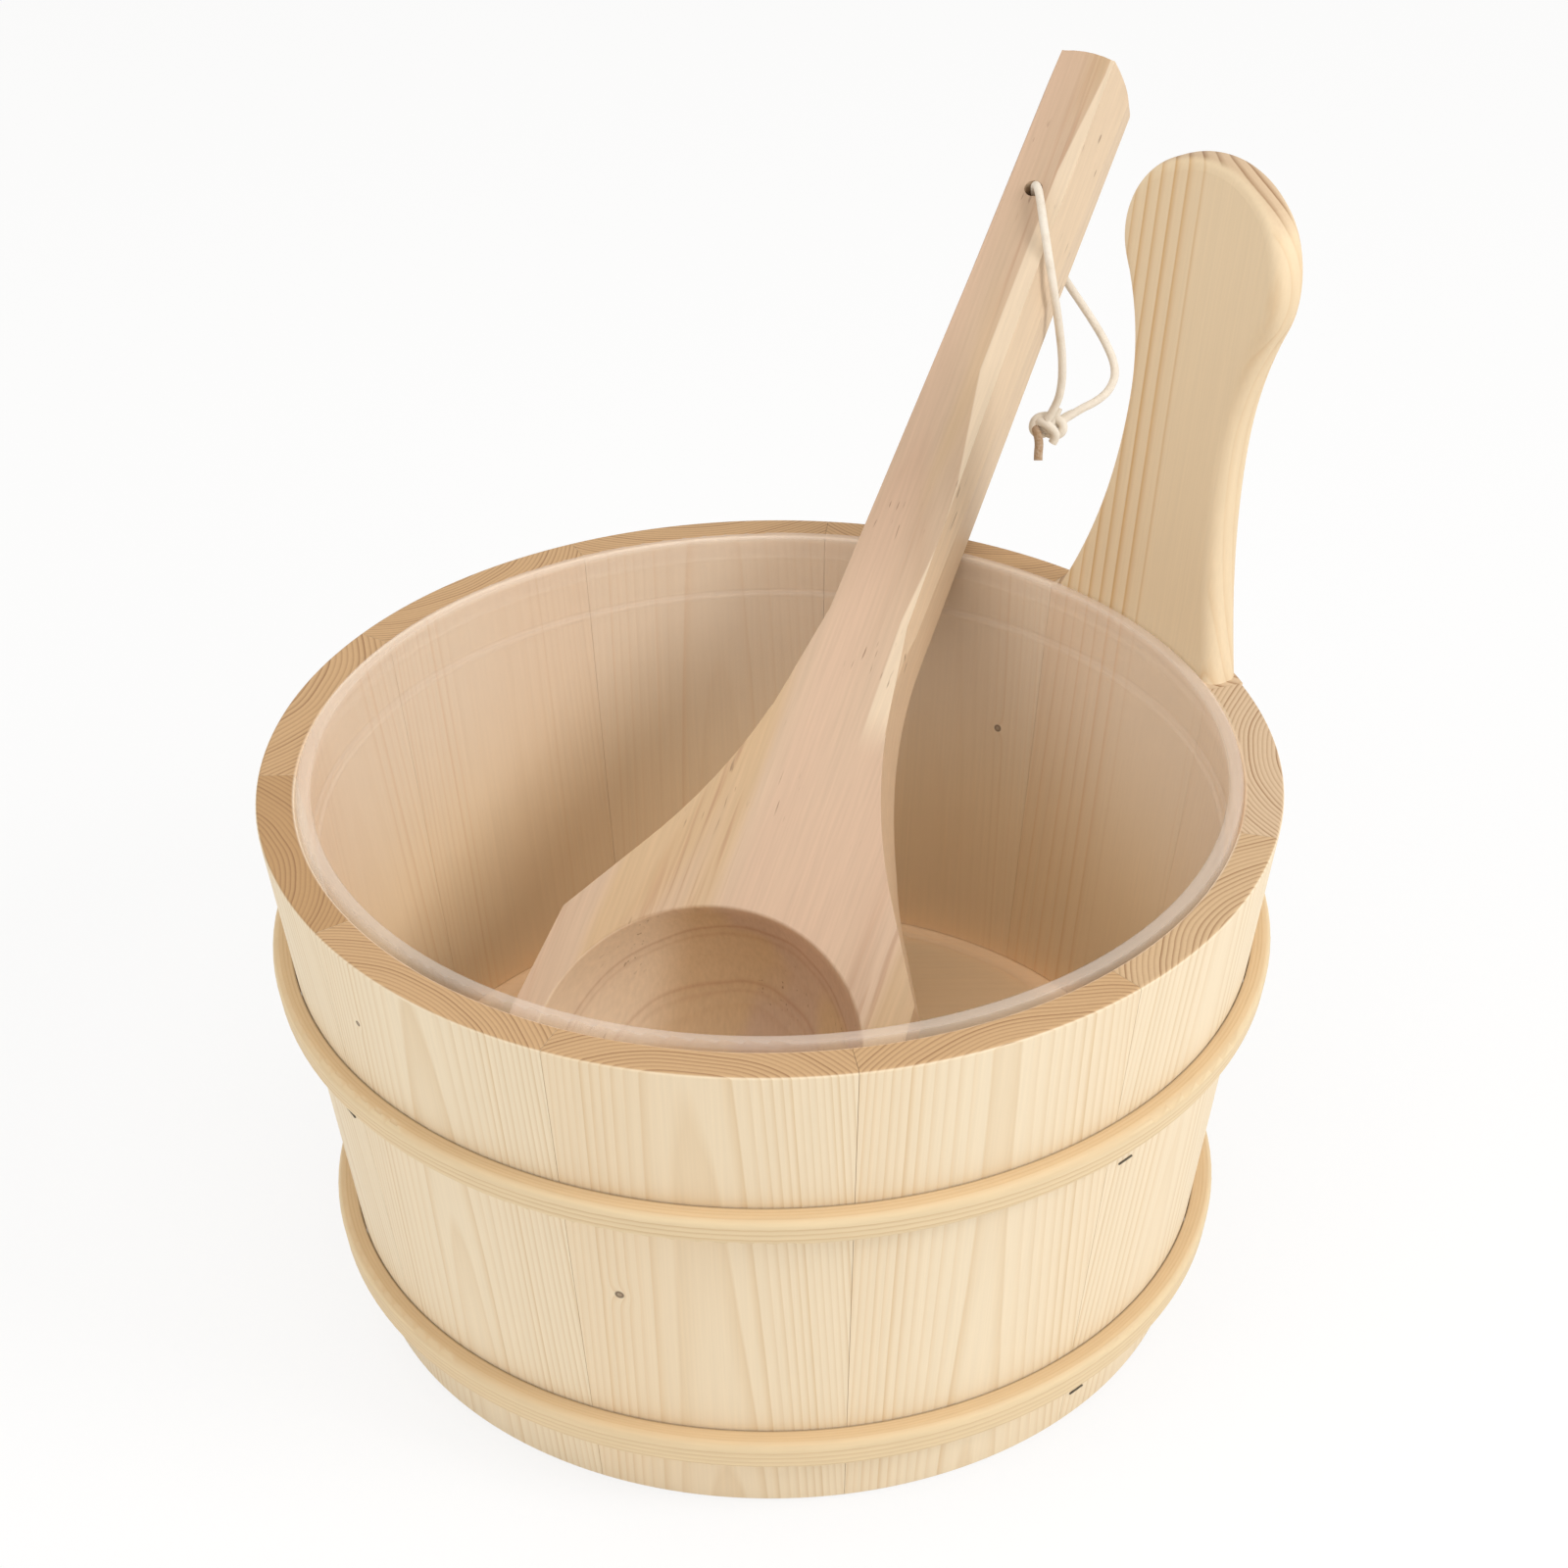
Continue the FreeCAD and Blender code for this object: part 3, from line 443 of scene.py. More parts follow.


# The handle stave's end colour carries painted light on the rim
HANDLE_FIGURE = figure(
    1.3, pith=27.6, side=-19.8, ring=3.0, dip=0.0, slant=0.02,
    drift=1.5 * MM, waver=0.22, weakest=0.75, contrast=0.84, late=HANDLE_LATE,
    profile=WIDE_RING_PROFILE, plain_heart=41.0 * MM, early=HANDLE_EARLY, end=END_MOST_LIT,
)
# Some staves take painted shade or painted light on the rim in their end colour
STAVE_FIGURES = [
    figure(2.1, side=3, ring=1.3, slant=0.01),
    figure(3.7, pith=44, side=-4, dip=0.008),
    figure(4.2, pith=36, side=2, ring=1.1, dip=-0.006),
    figure(5.9, pith=47, side=-6, ring=1.4),
    figure(6.4, side=4, dip=0.009, slant=-0.02, end=END_SHADED),
    figure(7.8, pith=42, side=-3, ring=1.15, dip=0.005, slant=0.02),
    figure(8.3, side=-1, ring=1.3, dip=0.0135, slant=-0.02),
    figure(9.5, pith=43, side=5, ring=1.2, dip=0.006, slant=-0.03),
    figure(10.6, pith=38, side=-4, ring=1.35, dip=0.01, slant=0.01, end=END_LIT),
    figure(11.2, pith=45, side=1, ring=1.2, dip=-0.008, end=END_MOST_LIT),
]
# Knots in the staves' outer faces: across, along the grain and radius, in millimetres
STAVE_KNOTS = {
    "stave_07": [(-21.2, 83.7, 1.35)],
    "stave_06": [(-23.0, 139.0, 0.9)],
    "stave_01": [(-19.7, 111.2, 1.2)],
}


def dress_staves():
    """Give every stave wood of its own, turned to where it stands."""
    pitch = 2 * math.pi / STAVE_COUNT
    wood = stave_wood("handle_wood", HANDLE_AZIMUTH, HANDLE_FIGURE)
    paint("handle_stave", wood)
    for number, (name, shape) in enumerate(zip(PLAIN_STAVES, STAVE_FIGURES), start=1):
        knots = [tuple(value * MM for value in knot) for knot in STAVE_KNOTS.get(name, [])]
        azimuth = HANDLE_AZIMUTH + number * pitch
        paint(name, stave_wood(f"{name}_wood", azimuth, shape, knots))


def paint(node_name, material):
    """Give a CAD node its material."""
    for slot in NODES[node_name].material_slots:
        slot.material = material


# Height from which the board's depth in its tree is measured
BOARD_TOP = 31 * MM
BOARD_FIGURE = figure(12.4, pith=60, side=12, ring=1.6, dip=0.01)


def board_wood():
    """Bottom board, with its grain across the pail."""
    shader = Shader("board_wood")
    x, y, z = shader.parts(shader.place())
    facing = shader.parts(shader.normal())[0]
    end_share = shader.step(shader.math("ABSOLUTE", facing), 0.6, 0.95)
    inward = shader.math("SUBTRACT", BOARD_TOP, z)
    # The whole board takes the inner wall's painted bounce light
    softwood(shader, inward, y, x, BOARD_FIGURE, end_share, inner_share=1.0)
    return shader.material


HOOP_EARLY = srgb(228, 206, 168)
HOOP_LATE = srgb(192, 152, 104)
HOOP_TOP = srgb(214, 182, 140)
HOOP_GROOVE_SHADE = srgb(112, 84, 56)
HOOP_LATE_SHARE = 0.45
HOOP_TOP_SHARE = 0.55
HOOP_GROOVE_SHADE_SHARE = 0.45
# Layers of the bent strip: their thickness, how far they drift, and how far they lean out
HOOP_LAYER = 0.9 * MM
HOOP_DRIFT = 3 * MM
HOOP_LAYER_LEAN = 0.5
# Length round the hoop that one radian stands for in its noises
HOOP_STRETCH = 6 * MM
HOOP_DRIFT_SCALE = 70.0
HOOP_FIBRE_SCALE = 1500.0
HOOP_FIBRE_SHADE = 0.12
HOOP_FIBRE_HEIGHT = 0.6
HOOP_ROUGHNESS = 0.6
# Distance from the wall over which painted shade darkens the groove between hoop and wall
GROOVE_SHADE_START, GROOVE_SHADE_END = 0.7 * MM, 0.3 * MM
HOOP_SEEDS = {"upper_hoop": 0.0, "lower_hoop": 0.7}


def hoop_wood(name, seed):
    """Bent hoop: thin layers that run round with the band."""
    shader = Shader(name)
    x, y, z = shader.parts(shader.place())
    radius = shader.vector("LENGTH", shader.joined(x, y, 0.0))
    angle = shader.math("ARCTAN2", y, x)
    band = shader.joined(shader.math("MULTIPLY", angle, HOOP_STRETCH), radius, z)
    seeded = shader.vector("ADD", band, (seed, 0.0, 0.0))
    drift = shader.noise(seeded, HOOP_DRIFT_SCALE, detail=2.0)
    depth = shader.math("MULTIPLY_ADD", z, HOOP_LAYER_LEAN, radius)
    depth = shader.math("MULTIPLY_ADD", drift, HOOP_DRIFT, depth)
    level = ring_level(shader, shader.math("DIVIDE", depth, HOOP_LAYER))
    fibre = shader.noise(seeded, HOOP_FIBRE_SCALE, detail=2.0)
    color = shader.mix(shader.math("MULTIPLY", level, HOOP_LATE_SHARE), HOOP_EARLY, HOOP_LATE)
    upward = shader.step(shader.parts(shader.normal())[2], 0.45, 0.95)
    color = shader.mix(shader.math("MULTIPLY", upward, HOOP_TOP_SHARE), color, HOOP_TOP)
    off_wall = shader.math("MULTIPLY", wall_depth(shader)[0], -1.0)
    # Painted shade in the groove where the hoop meets the wall
    groove_shade = shader.step(off_wall, GROOVE_SHADE_START, GROOVE_SHADE_END)
    color = shader.mix(shader.math("MULTIPLY", groove_shade, HOOP_GROOVE_SHADE_SHARE), color, HOOP_GROOVE_SHADE)
    color = shaded(shader, color, fibre, HOOP_FIBRE_SHADE)
    height = shader.math("MULTIPLY_ADD", fibre, HOOP_FIBRE_HEIGHT, level)
    shader.surface(color, HOOP_ROUGHNESS, shader.bump(height, WOOD_RELIEF, RELIEF_STRENGTH))
    return shader.material


LADLE_LIGHT = srgb(204, 178, 152)
LADLE_DARK = srgb(176, 140, 112)
LADLE_YELLOW = srgb(200, 168, 120)
LADLE_BLUSH = srgb(212, 176, 152)
LADLE_FLECK = srgb(112, 82, 62)
LADLE_STREAK = srgb(166, 122, 92)
# Grip as hands dull it, and painted light on the right side: a paler strip along the grip's right
# edge, and paler right-facing faces
LADLE_GRIP = srgb(190, 163, 136)
LADLE_LIT_STRIP = srgb(224, 204, 177)
LADLE_LIT_SIDE = srgb(216, 192, 163)
# Shares of these tones, in the order in which they are laid on
GRIP_SHARE = 0.8
DULL_SHARE = 0.7
DARK_SHARE = 0.35
YELLOW_SHARE = 0.5
BLUSH_SHARE = 0.35
STREAK_SHARE = 0.5
LIT_STRIP_SHARE = 0.85
LIT_SIDE_SHARE = 0.9
ARC_SHARE = 0.78
FLECK_SHARE = 0.55
LADLE_FIBRE_SHADE = 0.24
LADLE_ROUGHNESS = 0.58
LADLE_RELIEF = 0.08 * MM
# Growth layers: thickness, drift, how they dome over the width and rise along the ladle
LADLE_LAYER = 5 * MM
LADLE_DRIFT = 9 * MM
LADLE_DOME = 3.5
LADLE_RISE = 0.03
LADLE_STRETCH = 0.12
LADLE_DRIFT_SCALE = 28.0
# Patches: their noises' scales, and the levels between which each fades in
YELLOW_SCALE, YELLOW_START, YELLOW_END = 34.0, 0.0, 0.1
BLUSH_SCALE, BLUSH_START, BLUSH_END = 30.0, 0.02, -0.14
STREAK_ZONE_SCALE, STREAK_SCALE = 46.0, 430.0
FLECK_ZONE_SCALE, FLECK_SCALE = 45.0, 1000.0
# Fibres: scale, stretch along the grain, and skew, so that they don't fall into even rows
LADLE_FIBRE_SCALE = 900.0
LADLE_FIBRE_STRETCH = 0.05
FIBRE_SKEW_ALONG, FIBRE_SKEW_UP = 0.6, 0.45
BOWL_DULL = srgb(182, 151, 126)
BOWL_LATE = srgb(150, 98, 72)
BOWL_RADIUS = 42.0 * MM
# Layers that the bowl cuts: their number to one of the ladle's, their start, the faintest,
# and their thin dark lines
BOWL_LAYERS, BOWL_LAYER_START = 0.42, 0.3
BOWL_WEAKEST = 0.3
BOWL_PROFILE = [
    (0.0, 0.0), (0.74, 0.0), (0.8, 0.5), (0.85, 0.05), (0.91, 0.2), (0.95, 1.0), (1.0, 0.0),
]
# Inner edge of the strip of painted light beside the right side: along and across, in millimetres
LIT_STRIP_EDGE = [(98, 9.6), (130, 8.6), (155, 10.4), (172, 9.4), (207, 3.8), (272, 3.8), (305, 6.5)]
LIT_STRIP_BLEND = 0.3 * MM
# Distances along the ladle over which the strip of painted light and the grip's tone fade in
LIT_STRIP_START = (90 * MM, 106 * MM)
GRIP_START = (110 * MM, 190 * MM)


def painted_light_side(shader, x, y):
    """Shares of painted light: the ladle's right-facing faces, and a strip of its grip by them."""
    turned = shader.vector("DOT_PRODUCT", shader.normal(), tuple(LADLE_TURN.col[0]))
    facing = shader.step(turned, 0.3, 0.6)
    edge = LIT_STRIP_EDGE[0][1] * MM
    for (start, inset), (end, next_inset) in zip(LIT_STRIP_EDGE, LIT_STRIP_EDGE[1:]):
        from_start = shader.math("SUBTRACT", y, start * MM)
        along = shader.math("DIVIDE", from_start, (end - start) * MM, clamp=True)
        edge = shader.math("MULTIPLY_ADD", along, (next_inset - inset) * MM, edge)
    beyond = shader.step(shader.math("SUBTRACT", x, edge), -LIT_STRIP_BLEND, LIT_STRIP_BLEND)
    strip = shader.math("MULTIPLY", beyond, shader.step(y, *LIT_STRIP_START))
    return facing, strip


def ladle_axes(shader):
    """Across, along and above the ladle's top face, from the middle of its bowl."""
    mapping = shader.node("Mapping", vector_type="TEXTURE")
    shader.put(shader.place(), mapping.inputs["Vector"])
    mapping.inputs["Location"].default_value = LADLE_PLACE
    mapping.inputs["Rotation"].default_value = LADLE_TURN.to_euler()
    return shader.parts(mapping.outputs[0])


def ladle_layers(shader, x, y, z, stretched):
    """Levels of late wood on the ladle's faces and in its bowl."""
    drift = shader.noise(stretched, LADLE_DRIFT_SCALE, detail=2.0)
    dome = shader.math("MULTIPLY", shader.math("MULTIPLY", x, x), LADLE_DOME)
    rise = shader.math("MULTIPLY", y, LADLE_RISE)
    layer = shader.math("ADD", shader.math("ADD", z, dome), rise)
    depth = shader.math("MULTIPLY_ADD", drift, LADLE_DRIFT, layer)
    rings = shader.math("DIVIDE", depth, LADLE_LAYER)
    bowl_rings = shader.math("MULTIPLY_ADD", rings, BOWL_LAYERS, BOWL_LAYER_START)
    return ring_level(shader, rings), ring_level(shader, bowl_rings, BOWL_WEAKEST, BOWL_PROFILE)


def in_bowl(shader, x, y, z):
    """1 in the bowl's hollow, and 0 elsewhere."""
    radius = shader.vector("LENGTH", shader.joined(x, y, 0.0))
    return shader.math("MULTIPLY", shader.step(z, -0.3 * MM, -2.5 * MM),
                       shader.step(radius, BOWL_RADIUS + 2 * MM, BOWL_RADIUS))


def ladle_marks(shader, x, y, z, stretched):
    """Fine fibres, and shares of the short brown streaks and dark flecks."""
    along = shader.math("MULTIPLY_ADD", y, LADLE_FIBRE_STRETCH,
                        shader.math("MULTIPLY", x, FIBRE_SKEW_ALONG))
    fibre_place = shader.joined(x, along, shader.math("MULTIPLY_ADD", x, FIBRE_SKEW_UP, z))
    fibre = shader.noise(fibre_place, LADLE_FIBRE_SCALE, detail=3.0)
    zone = shader.step(shader.noise(stretched, STREAK_ZONE_SCALE, detail=1.0), 0.0, 0.16)
    streak = shader.step(shader.noise(fibre_place, STREAK_SCALE, detail=2.0), -0.02, 0.16)
    streak = shader.math("MULTIPLY", zone, streak)
    sparse = shader.step(shader.noise(shader.place(), FLECK_ZONE_SCALE, detail=0.0), 0.02, 0.2)
    fleck = shader.step(shader.noise(stretched, FLECK_SCALE, detail=1.0), 0.17, 0.24)
    return fibre, streak, shader.math("MULTIPLY", fleck, sparse)


def ladle_wood():
    """Fine pinkish wood whose growth layers lie nearly level with the ladle's top face."""
    shader = Shader("ladle_wood")
    x, y, z = ladle_axes(shader)
    stretched = shader.joined(x, shader.math("MULTIPLY", y, LADLE_STRETCH), z)
    level, bowl_level = ladle_layers(shader, x, y, z, stretched)
    fibre, streak, fleck = ladle_marks(shader, x, y, z, stretched)
    hollow = in_bowl(shader, x, y, z)
    facing, strip = painted_light_side(shader, x, y)
    streak = shader.math("MULTIPLY", streak, shader.math("SUBTRACT", 1.0, hollow))
    arc = shader.math("MULTIPLY", bowl_level, hollow)
    yellow = shader.noise(stretched, YELLOW_SCALE, detail=2.0)
    blush = shader.noise(stretched, BLUSH_SCALE, detail=1.0)
    tones = [
        (shader.step(y, *GRIP_START), GRIP_SHARE, LADLE_GRIP),
        (hollow, DULL_SHARE, BOWL_DULL),
        (level, DARK_SHARE, LADLE_DARK),
        (shader.step(yellow, YELLOW_START, YELLOW_END), YELLOW_SHARE, LADLE_YELLOW),
        (shader.step(blush, BLUSH_START, BLUSH_END), BLUSH_SHARE, LADLE_BLUSH),
        (streak, STREAK_SHARE, LADLE_STREAK),
        # Painted light: a paler strip by the grip's right edge, and paler right-facing faces
        (strip, LIT_STRIP_SHARE, LADLE_LIT_STRIP),
        (facing, LIT_SIDE_SHARE, LADLE_LIT_SIDE),
        (arc, ARC_SHARE, BOWL_LATE),
        (fleck, FLECK_SHARE, LADLE_FLECK),
    ]
    color = LADLE_LIGHT
    for mask, share, tone in tones:
        color = shader.mix(shader.math("MULTIPLY", mask, share), color, tone)
    color = shaded(shader, color, fibre, LADLE_FIBRE_SHADE)
    height = shader.math("SUBTRACT", fibre, fleck)
    shader.surface(color, LADLE_ROUGHNESS, shader.bump(height, LADLE_RELIEF, RELIEF_STRENGTH))
    return shader.material


LINER_TINT = srgb(246, 230, 216)
LINER_ROUGHNESS = 0.34
LINER_GLOSS = 0.5
LINER_GRAIN_SCALE = 2200.0
LINER_GRAIN_RELIEF = 0.02 * MM
# Opacity of one face of the liner: thin wall low, denser high up as painted light, thick lip from
# the side and from above, moulded lines (the floor's edge a painted highlight), and clouds
WALL_HAZE = 0.035
UPPER_LIT_HAZE = 0.12
LIP_HAZE = 0.17
LIP_TOP_HAZE = 0.3
RING_HAZE = 0.08
HAZE_CLOUD = 0.02
CLOUD_SCALE = 40.0
# Heights over which the wall turns to its upper haze of painted light, and over which the lip
# begins
UPPER_LIT_RISE = (78 * MM, 140 * MM)
LIP_RISE = (PAIL_HEIGHT - 6 * MM, PAIL_HEIGHT - 3 * MM)
# Lines where the moulded step gathers more haze, and where denser haze paints a highlight along
# the floor's round edge
LINER_STEP = 128.0 * MM
LINER_FLOOR_RING = 94.0 * MM
LINER_FLOOR_TOP = 33.0 * MM


def liner_rings(shader, x, y, z):
    """1 on the line of the liner's step and on a painted highlight by its floor's edge, and 0
    elsewhere.
    """
    off_step = shader.math("ABSOLUTE", shader.math("SUBTRACT", z, LINER_STEP))
    step_ring = shader.step(off_step, 0.9 * MM, 0.3 * MM)
    radius = shader.vector("LENGTH", shader.joined(x, y, 0.0))
    off_ring = shader.math("ABSOLUTE", shader.math("SUBTRACT", radius, LINER_FLOOR_RING))
    on_floor = shader.step(z, LINER_FLOOR_TOP + 5 * MM, LINER_FLOOR_TOP + 3 * MM)
    # Painted highlight along the floor's round edge
    floor_highlight_ring = shader.math("MULTIPLY", shader.step(off_ring, 1.0 * MM, 0.4 * MM), on_floor)
    return shader.math("MAXIMUM", step_ring, floor_highlight_ring)


def liner_haze(shader):
    """Opacity of the liner: thin on the wall and floor, denser up the wall as painted light, and
    in the lip.
    """
    x, y, z = shader.parts(shader.place())
    lip = shader.step(z, *LIP_RISE)
    upward = shader.step(shader.parts(shader.normal())[2], 0.2, 0.85)
    lip_top = shader.math("MULTIPLY", lip, upward)
    # Painted light: the wall's haze grows denser and paler towards the top
    rise = shader.step(z, *UPPER_LIT_RISE)
    haze = shader.math("MULTIPLY_ADD", rise, UPPER_LIT_HAZE - WALL_HAZE, WALL_HAZE)
    cloud = shader.noise(shader.place(), CLOUD_SCALE, detail=3.0)
    haze = shader.math("MULTIPLY_ADD", cloud, HAZE_CLOUD, haze)
    haze = shader.math("MULTIPLY_ADD", lip, LIP_HAZE - UPPER_LIT_HAZE, haze)
    haze = shader.math("MULTIPLY_ADD", lip_top, LIP_TOP_HAZE - LIP_HAZE, haze)
    return shader.math("MULTIPLY_ADD", liner_rings(shader, x, y, z), RING_HAZE, haze)


def liner_plastic():
    """Frosted plastic with a fine grain."""
    shader = Shader("liner_plastic")
    grain = shader.noise(shader.place(), LINER_GRAIN_SCALE, detail=1.0)
    bump = shader.bump(grain, LINER_GRAIN_RELIEF, 0.3)
    surface = shader.surface(LINER_TINT, LINER_ROUGHNESS, bump, specular=LINER_GLOSS)
    shader.put(liner_haze(shader), surface.inputs["Alpha"])
    return shader.material


CORD_LIGHT = srgb(232, 223, 209)
CORD_DARK = srgb(194, 176, 150)
CORD_SHADED_TAIL = srgb(158, 120, 80)
# Painted shade on the knot's long tail: how dark it is on average
TAIL_SHADE_SHARE = 0.75
# Fibres and dirty hollows: their scales, and their shares in the darker tone
CORD_FIBRE_SCALE, CORD_FIBRE_SHARE = 1600.0, 0.5
CORD_SOIL_SCALE, CORD_SOIL_SHARE = 160.0, 0.35
TAIL_FIBRE_SHARE = 0.9
CORD_RELIEF = 0.12 * MM
CORD_ROUGHNESS = 0.85
CORD_ORDER = 3


def cord_fibre(name="cord_fibre", tail_shade=0.0):
    """Soft pale cord with fine fibres, slightly dirty hollows, and painted shade on the long tail.
    """
    shader = Shader(name)
    fibre = shader.noise(shader.place(), CORD_FIBRE_SCALE, detail=4.0, roughness=0.65)
    soil = shader.step(shader.noise(shader.place(), CORD_SOIL_SCALE, detail=2.0), -0.1, 0.25)
    soil = shader.math("MULTIPLY", soil, CORD_SOIL_SHARE)
    share = shader.math("MULTIPLY_ADD", fibre, CORD_FIBRE_SHARE, soil, clamp=True)
    color = shader.mix(share, CORD_LIGHT, CORD_DARK)
    # Painted shade: the long tail darkened to brown, broken up by its fibres
    if tail_shade:
        tail_shade_level = shader.math("MULTIPLY_ADD", fibre, TAIL_FIBRE_SHARE, tail_shade, clamp=True)
        color = shader.mix(tail_shade_level, color, CORD_SHADED_TAIL)
    shader.surface(color, CORD_ROUGHNESS, shader.bump(fibre, CORD_RELIEF, 0.8), specular=0.2)
    return shader.material


STEEL_BRIGHT = srgb(112, 104, 88)
STEEL_STAINED = srgb(64, 58, 48)
STAIN_SCALE = 900.0
STEEL_ROUGHNESS = 0.6
STEEL_SHINE = 0.2


def staple_steel():
    """Dull wire, stained dark in places."""
    shader = Shader("staple_steel")
    stain = shader.noise(shader.place(), STAIN_SCALE, detail=3.0)
    color = shader.mix(shader.math("ADD", stain, 0.5), STEEL_BRIGHT, STEEL_STAINED)
    surface = shader.surface(color, STEEL_ROUGHNESS, shader.bump(stain, 0.02 * MM))
    surface.inputs["Metallic"].default_value = STEEL_SHINE
    return shader.material


def round_curve(name, radius, roundness):
    """Empty curve with a round section and closed ends."""
    data = bpy.data.curves.new(name, "CURVE")
    data.dimensions = "3D"
    data.bevel_depth = radius
    data.bevel_resolution = roundness
    data.use_fill_caps = True
    return data


def add_spline(data, kind, points):
    """Add a line with these points, in metres, to a curve."""
    spline = data.splines.new(kind)
    spline.points.add(len(points) - 1)
    for point, place in zip(spline.points, points):
        point.co = (*place, 1.0)
    return spline


def smooth_line(name, points, radius):
    """NURBS cord along control points in metres, with a round section."""
    data = round_curve(name, radius, 5)
    data.resolution_u = 10
    spline = add_spline(data, "NURBS", points)
    spline.order_u = CORD_ORDER
    spline.use_endpoint_u = True
    return placed(name, data)


def from_mouth(offset):
    """Place of a point that is given from the hole's mouth in millimetres."""
    return HOLE_MOUTH + Vector(offset) * MM


# Knot seen from the camera: cords that pass over and under, as right, up and near
KNOT_CORDS = {
    "outer_loop": [
        (2.3, 1.7, -1.0), (1.5, 2.5, -0.2), (0.0, 2.7, 0.5), (-1.9, 2.4, 0.7),
        (-3.0, 1.2, 0.4), (-2.9, -0.5, -0.6), (-1.5, -1.2, -1.3), (0.6, -0.6, -1.5),
        (2.3, 0.4, -1.3),
    ],
    "band": [
        (-2.2, 0.4, -0.6), (-2.1, 1.6, 0.6), (-1.1, 1.3, 1.5), (0.4, 0.4, 1.8),
        (1.6, -0.8, 1.4), (1.9, -2.0, 0.6), (1.2, -3.1, 0.0),
    ],
    "right_turn": [
        (1.6, 2.4, 0.2), (3.0, 1.6, 0.6), (3.6, 0.2, 0.6), (3.1, -1.1, 0.2),
        (1.7, -1.6, -0.5), (0.2, -0.9, -1.0),
    ],
    "heart": [(-1.9, 0.9, -0.7), (-0.5, 0.2, -0.5), (0.8, -0.5, -0.4), (1.9, -1.1, -0.3)],
    "front_strand": [(0.2, -0.4, -0.2), (1.0, 1.2, 0.2), (1.7, 2.6, 0.3), (2.4, 4.4, 0.3)],
    "back_strand": [(0.6, -0.2, -0.8), (2.4, 1.3, -0.6), (4.2, 2.6, -0.4), (5.8, 3.3, -0.3)],
    "long_tail": [
        (-2.5, 0.9, -0.3), (-2.4, -0.4, 0.6), (-1.9, -1.8, 0.7), (-1.7, -3.6, 0.5),
        (-1.9, -5.4, 0.3), (-1.9, -6.9, 0.2),
    ],
}
# Cords that take the long tail's painted shade
SHADED_CORDS = ("long_tail",)
# Millimetres that one unit of these points stands for
KNOT_SIZE = 1.28
# Axes of the knot's points: right, up and towards the camera
KNOT_AXES = ((0.9999, -0.0107, -0.0096), (0.0139, 0.5426, 0.8399), (-0.0038, -0.8400, 0.5427))
KNOT_CORD_RADIUS = 1.24 * MM


def knot_place(offset):
    """Place of a knot point that is given as right, up and near."""
    place = Vector(KNOT_CENTRE)
    for share, axis in zip(offset, KNOT_AXES):
        place = place + Vector(axis) * share * KNOT_SIZE
    return from_mouth(place)


def make_knot(materials):
    """Overhand knot of both strands with its two tails, as one mesh."""
    made = bmesh.new()
    for name, offsets in KNOT_CORDS.items():
        line = smooth_line(name, [knot_place(offset) for offset in offsets], KNOT_CORD_RADIUS)
        bpy.context.view_layer.update()
        evaluated = line.evaluated_get(bpy.context.evaluated_depsgraph_get())
        mesh = bpy.data.meshes.new_from_object(evaluated)
        for face in mesh.polygons:
            face.material_index = 1 if name in SHADED_CORDS else 0
        made.from_mesh(mesh)
        bpy.data.objects.remove(line)
    data = bpy.data.meshes.new("knot")
    made.to_mesh(data)
    made.free()
    for face in data.polygons:
        face.use_smooth = True
    knot = placed("knot", data)
    for material in materials:
        data.materials.append(material)
    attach(knot, "ladle")
    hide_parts("thong_knot")
    return knot


def make_thong():
    """Loop of cord through the ladle's hole, with its knot."""
    material = cord_fibre()
    points = [from_mouth(offset) for offset in THONG_ROUTE]
    thong = smooth_line("thong_loop", points, THONG_RADIUS)
    thong.data.materials.append(material)
    # The long tail's material carries its painted shade
    knot = make_knot([material, cord_fibre("cord_shaded_tail", TAIL_SHADE_SHARE)])
    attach(thong, "ladle")
    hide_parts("thong")


# Staples that hold each hoop up: crown's width, wire's radius, how far it stands out, leg
STAPLE_WIDTH = 4.2 * MM
STAPLE_WIRE = 0.33 * MM
STAPLE_PROUD = 0.1 * MM
STAPLE_LEG = 4 * MM
# Where each stands: degrees round the wall, and height in millimetres
STAPLES = {
    "upper_hoop": [(-45.6, 86.3), (-150.4, 83.4), (39, 86.0), (124, 85.5)],
    "lower_hoop": [(-46.3, 9.0), (-152.6, 5.2), (39, 9.0), (124, 8.6)],
}


def staple_points(azimuth, height):
    """Leg, crown and leg of one staple, driven in square to the wall."""
    outward = Vector((math.cos(azimuth), math.sin(azimuth), 0))
    sideways = Vector((-math.sin(azimuth), math.cos(azimuth), 0))
    wall = outward * (BASE_RADIUS + height * math.tan(STAVE_LEAN)) + Vector((0, 0, height))
    crown = wall + outward * STAPLE_PROUD
    left, right = crown - sideways * STAPLE_WIDTH / 2, crown + sideways * STAPLE_WIDTH / 2
    inward = -outward * STAPLE_LEG
    return [left + inward, left, right, right + inward]


def make_staples(hoop, places, material):
    """One piece for the staples of a hoop: a bent wire for each."""
    name = f"{hoop}_staples"
    data = round_curve(name, STAPLE_WIRE, 3)
    for degrees, height in places:
        add_spline(data, "POLY", staple_points(math.radians(degrees), height * MM))
    data.materials.append(material)
    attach(placed(name, data), "pail")


# Camera as solved from the photograph: place, axes and focal length
CAMERA_PLACE = (0.0, -0.776041, 0.639557)
CAMERA_RIGHT = (0.9998969, -0.0106842, -0.0095951)
CAMERA_UP = (0.0138572, 0.5425594, 0.8399031)
CAMERA_BACK = (-0.0037678, -0.8399495, 0.5426516)
CAMERA_LENS = 86.6017
SENSOR_WIDTH = 36.0
CLIP_START = 0.01


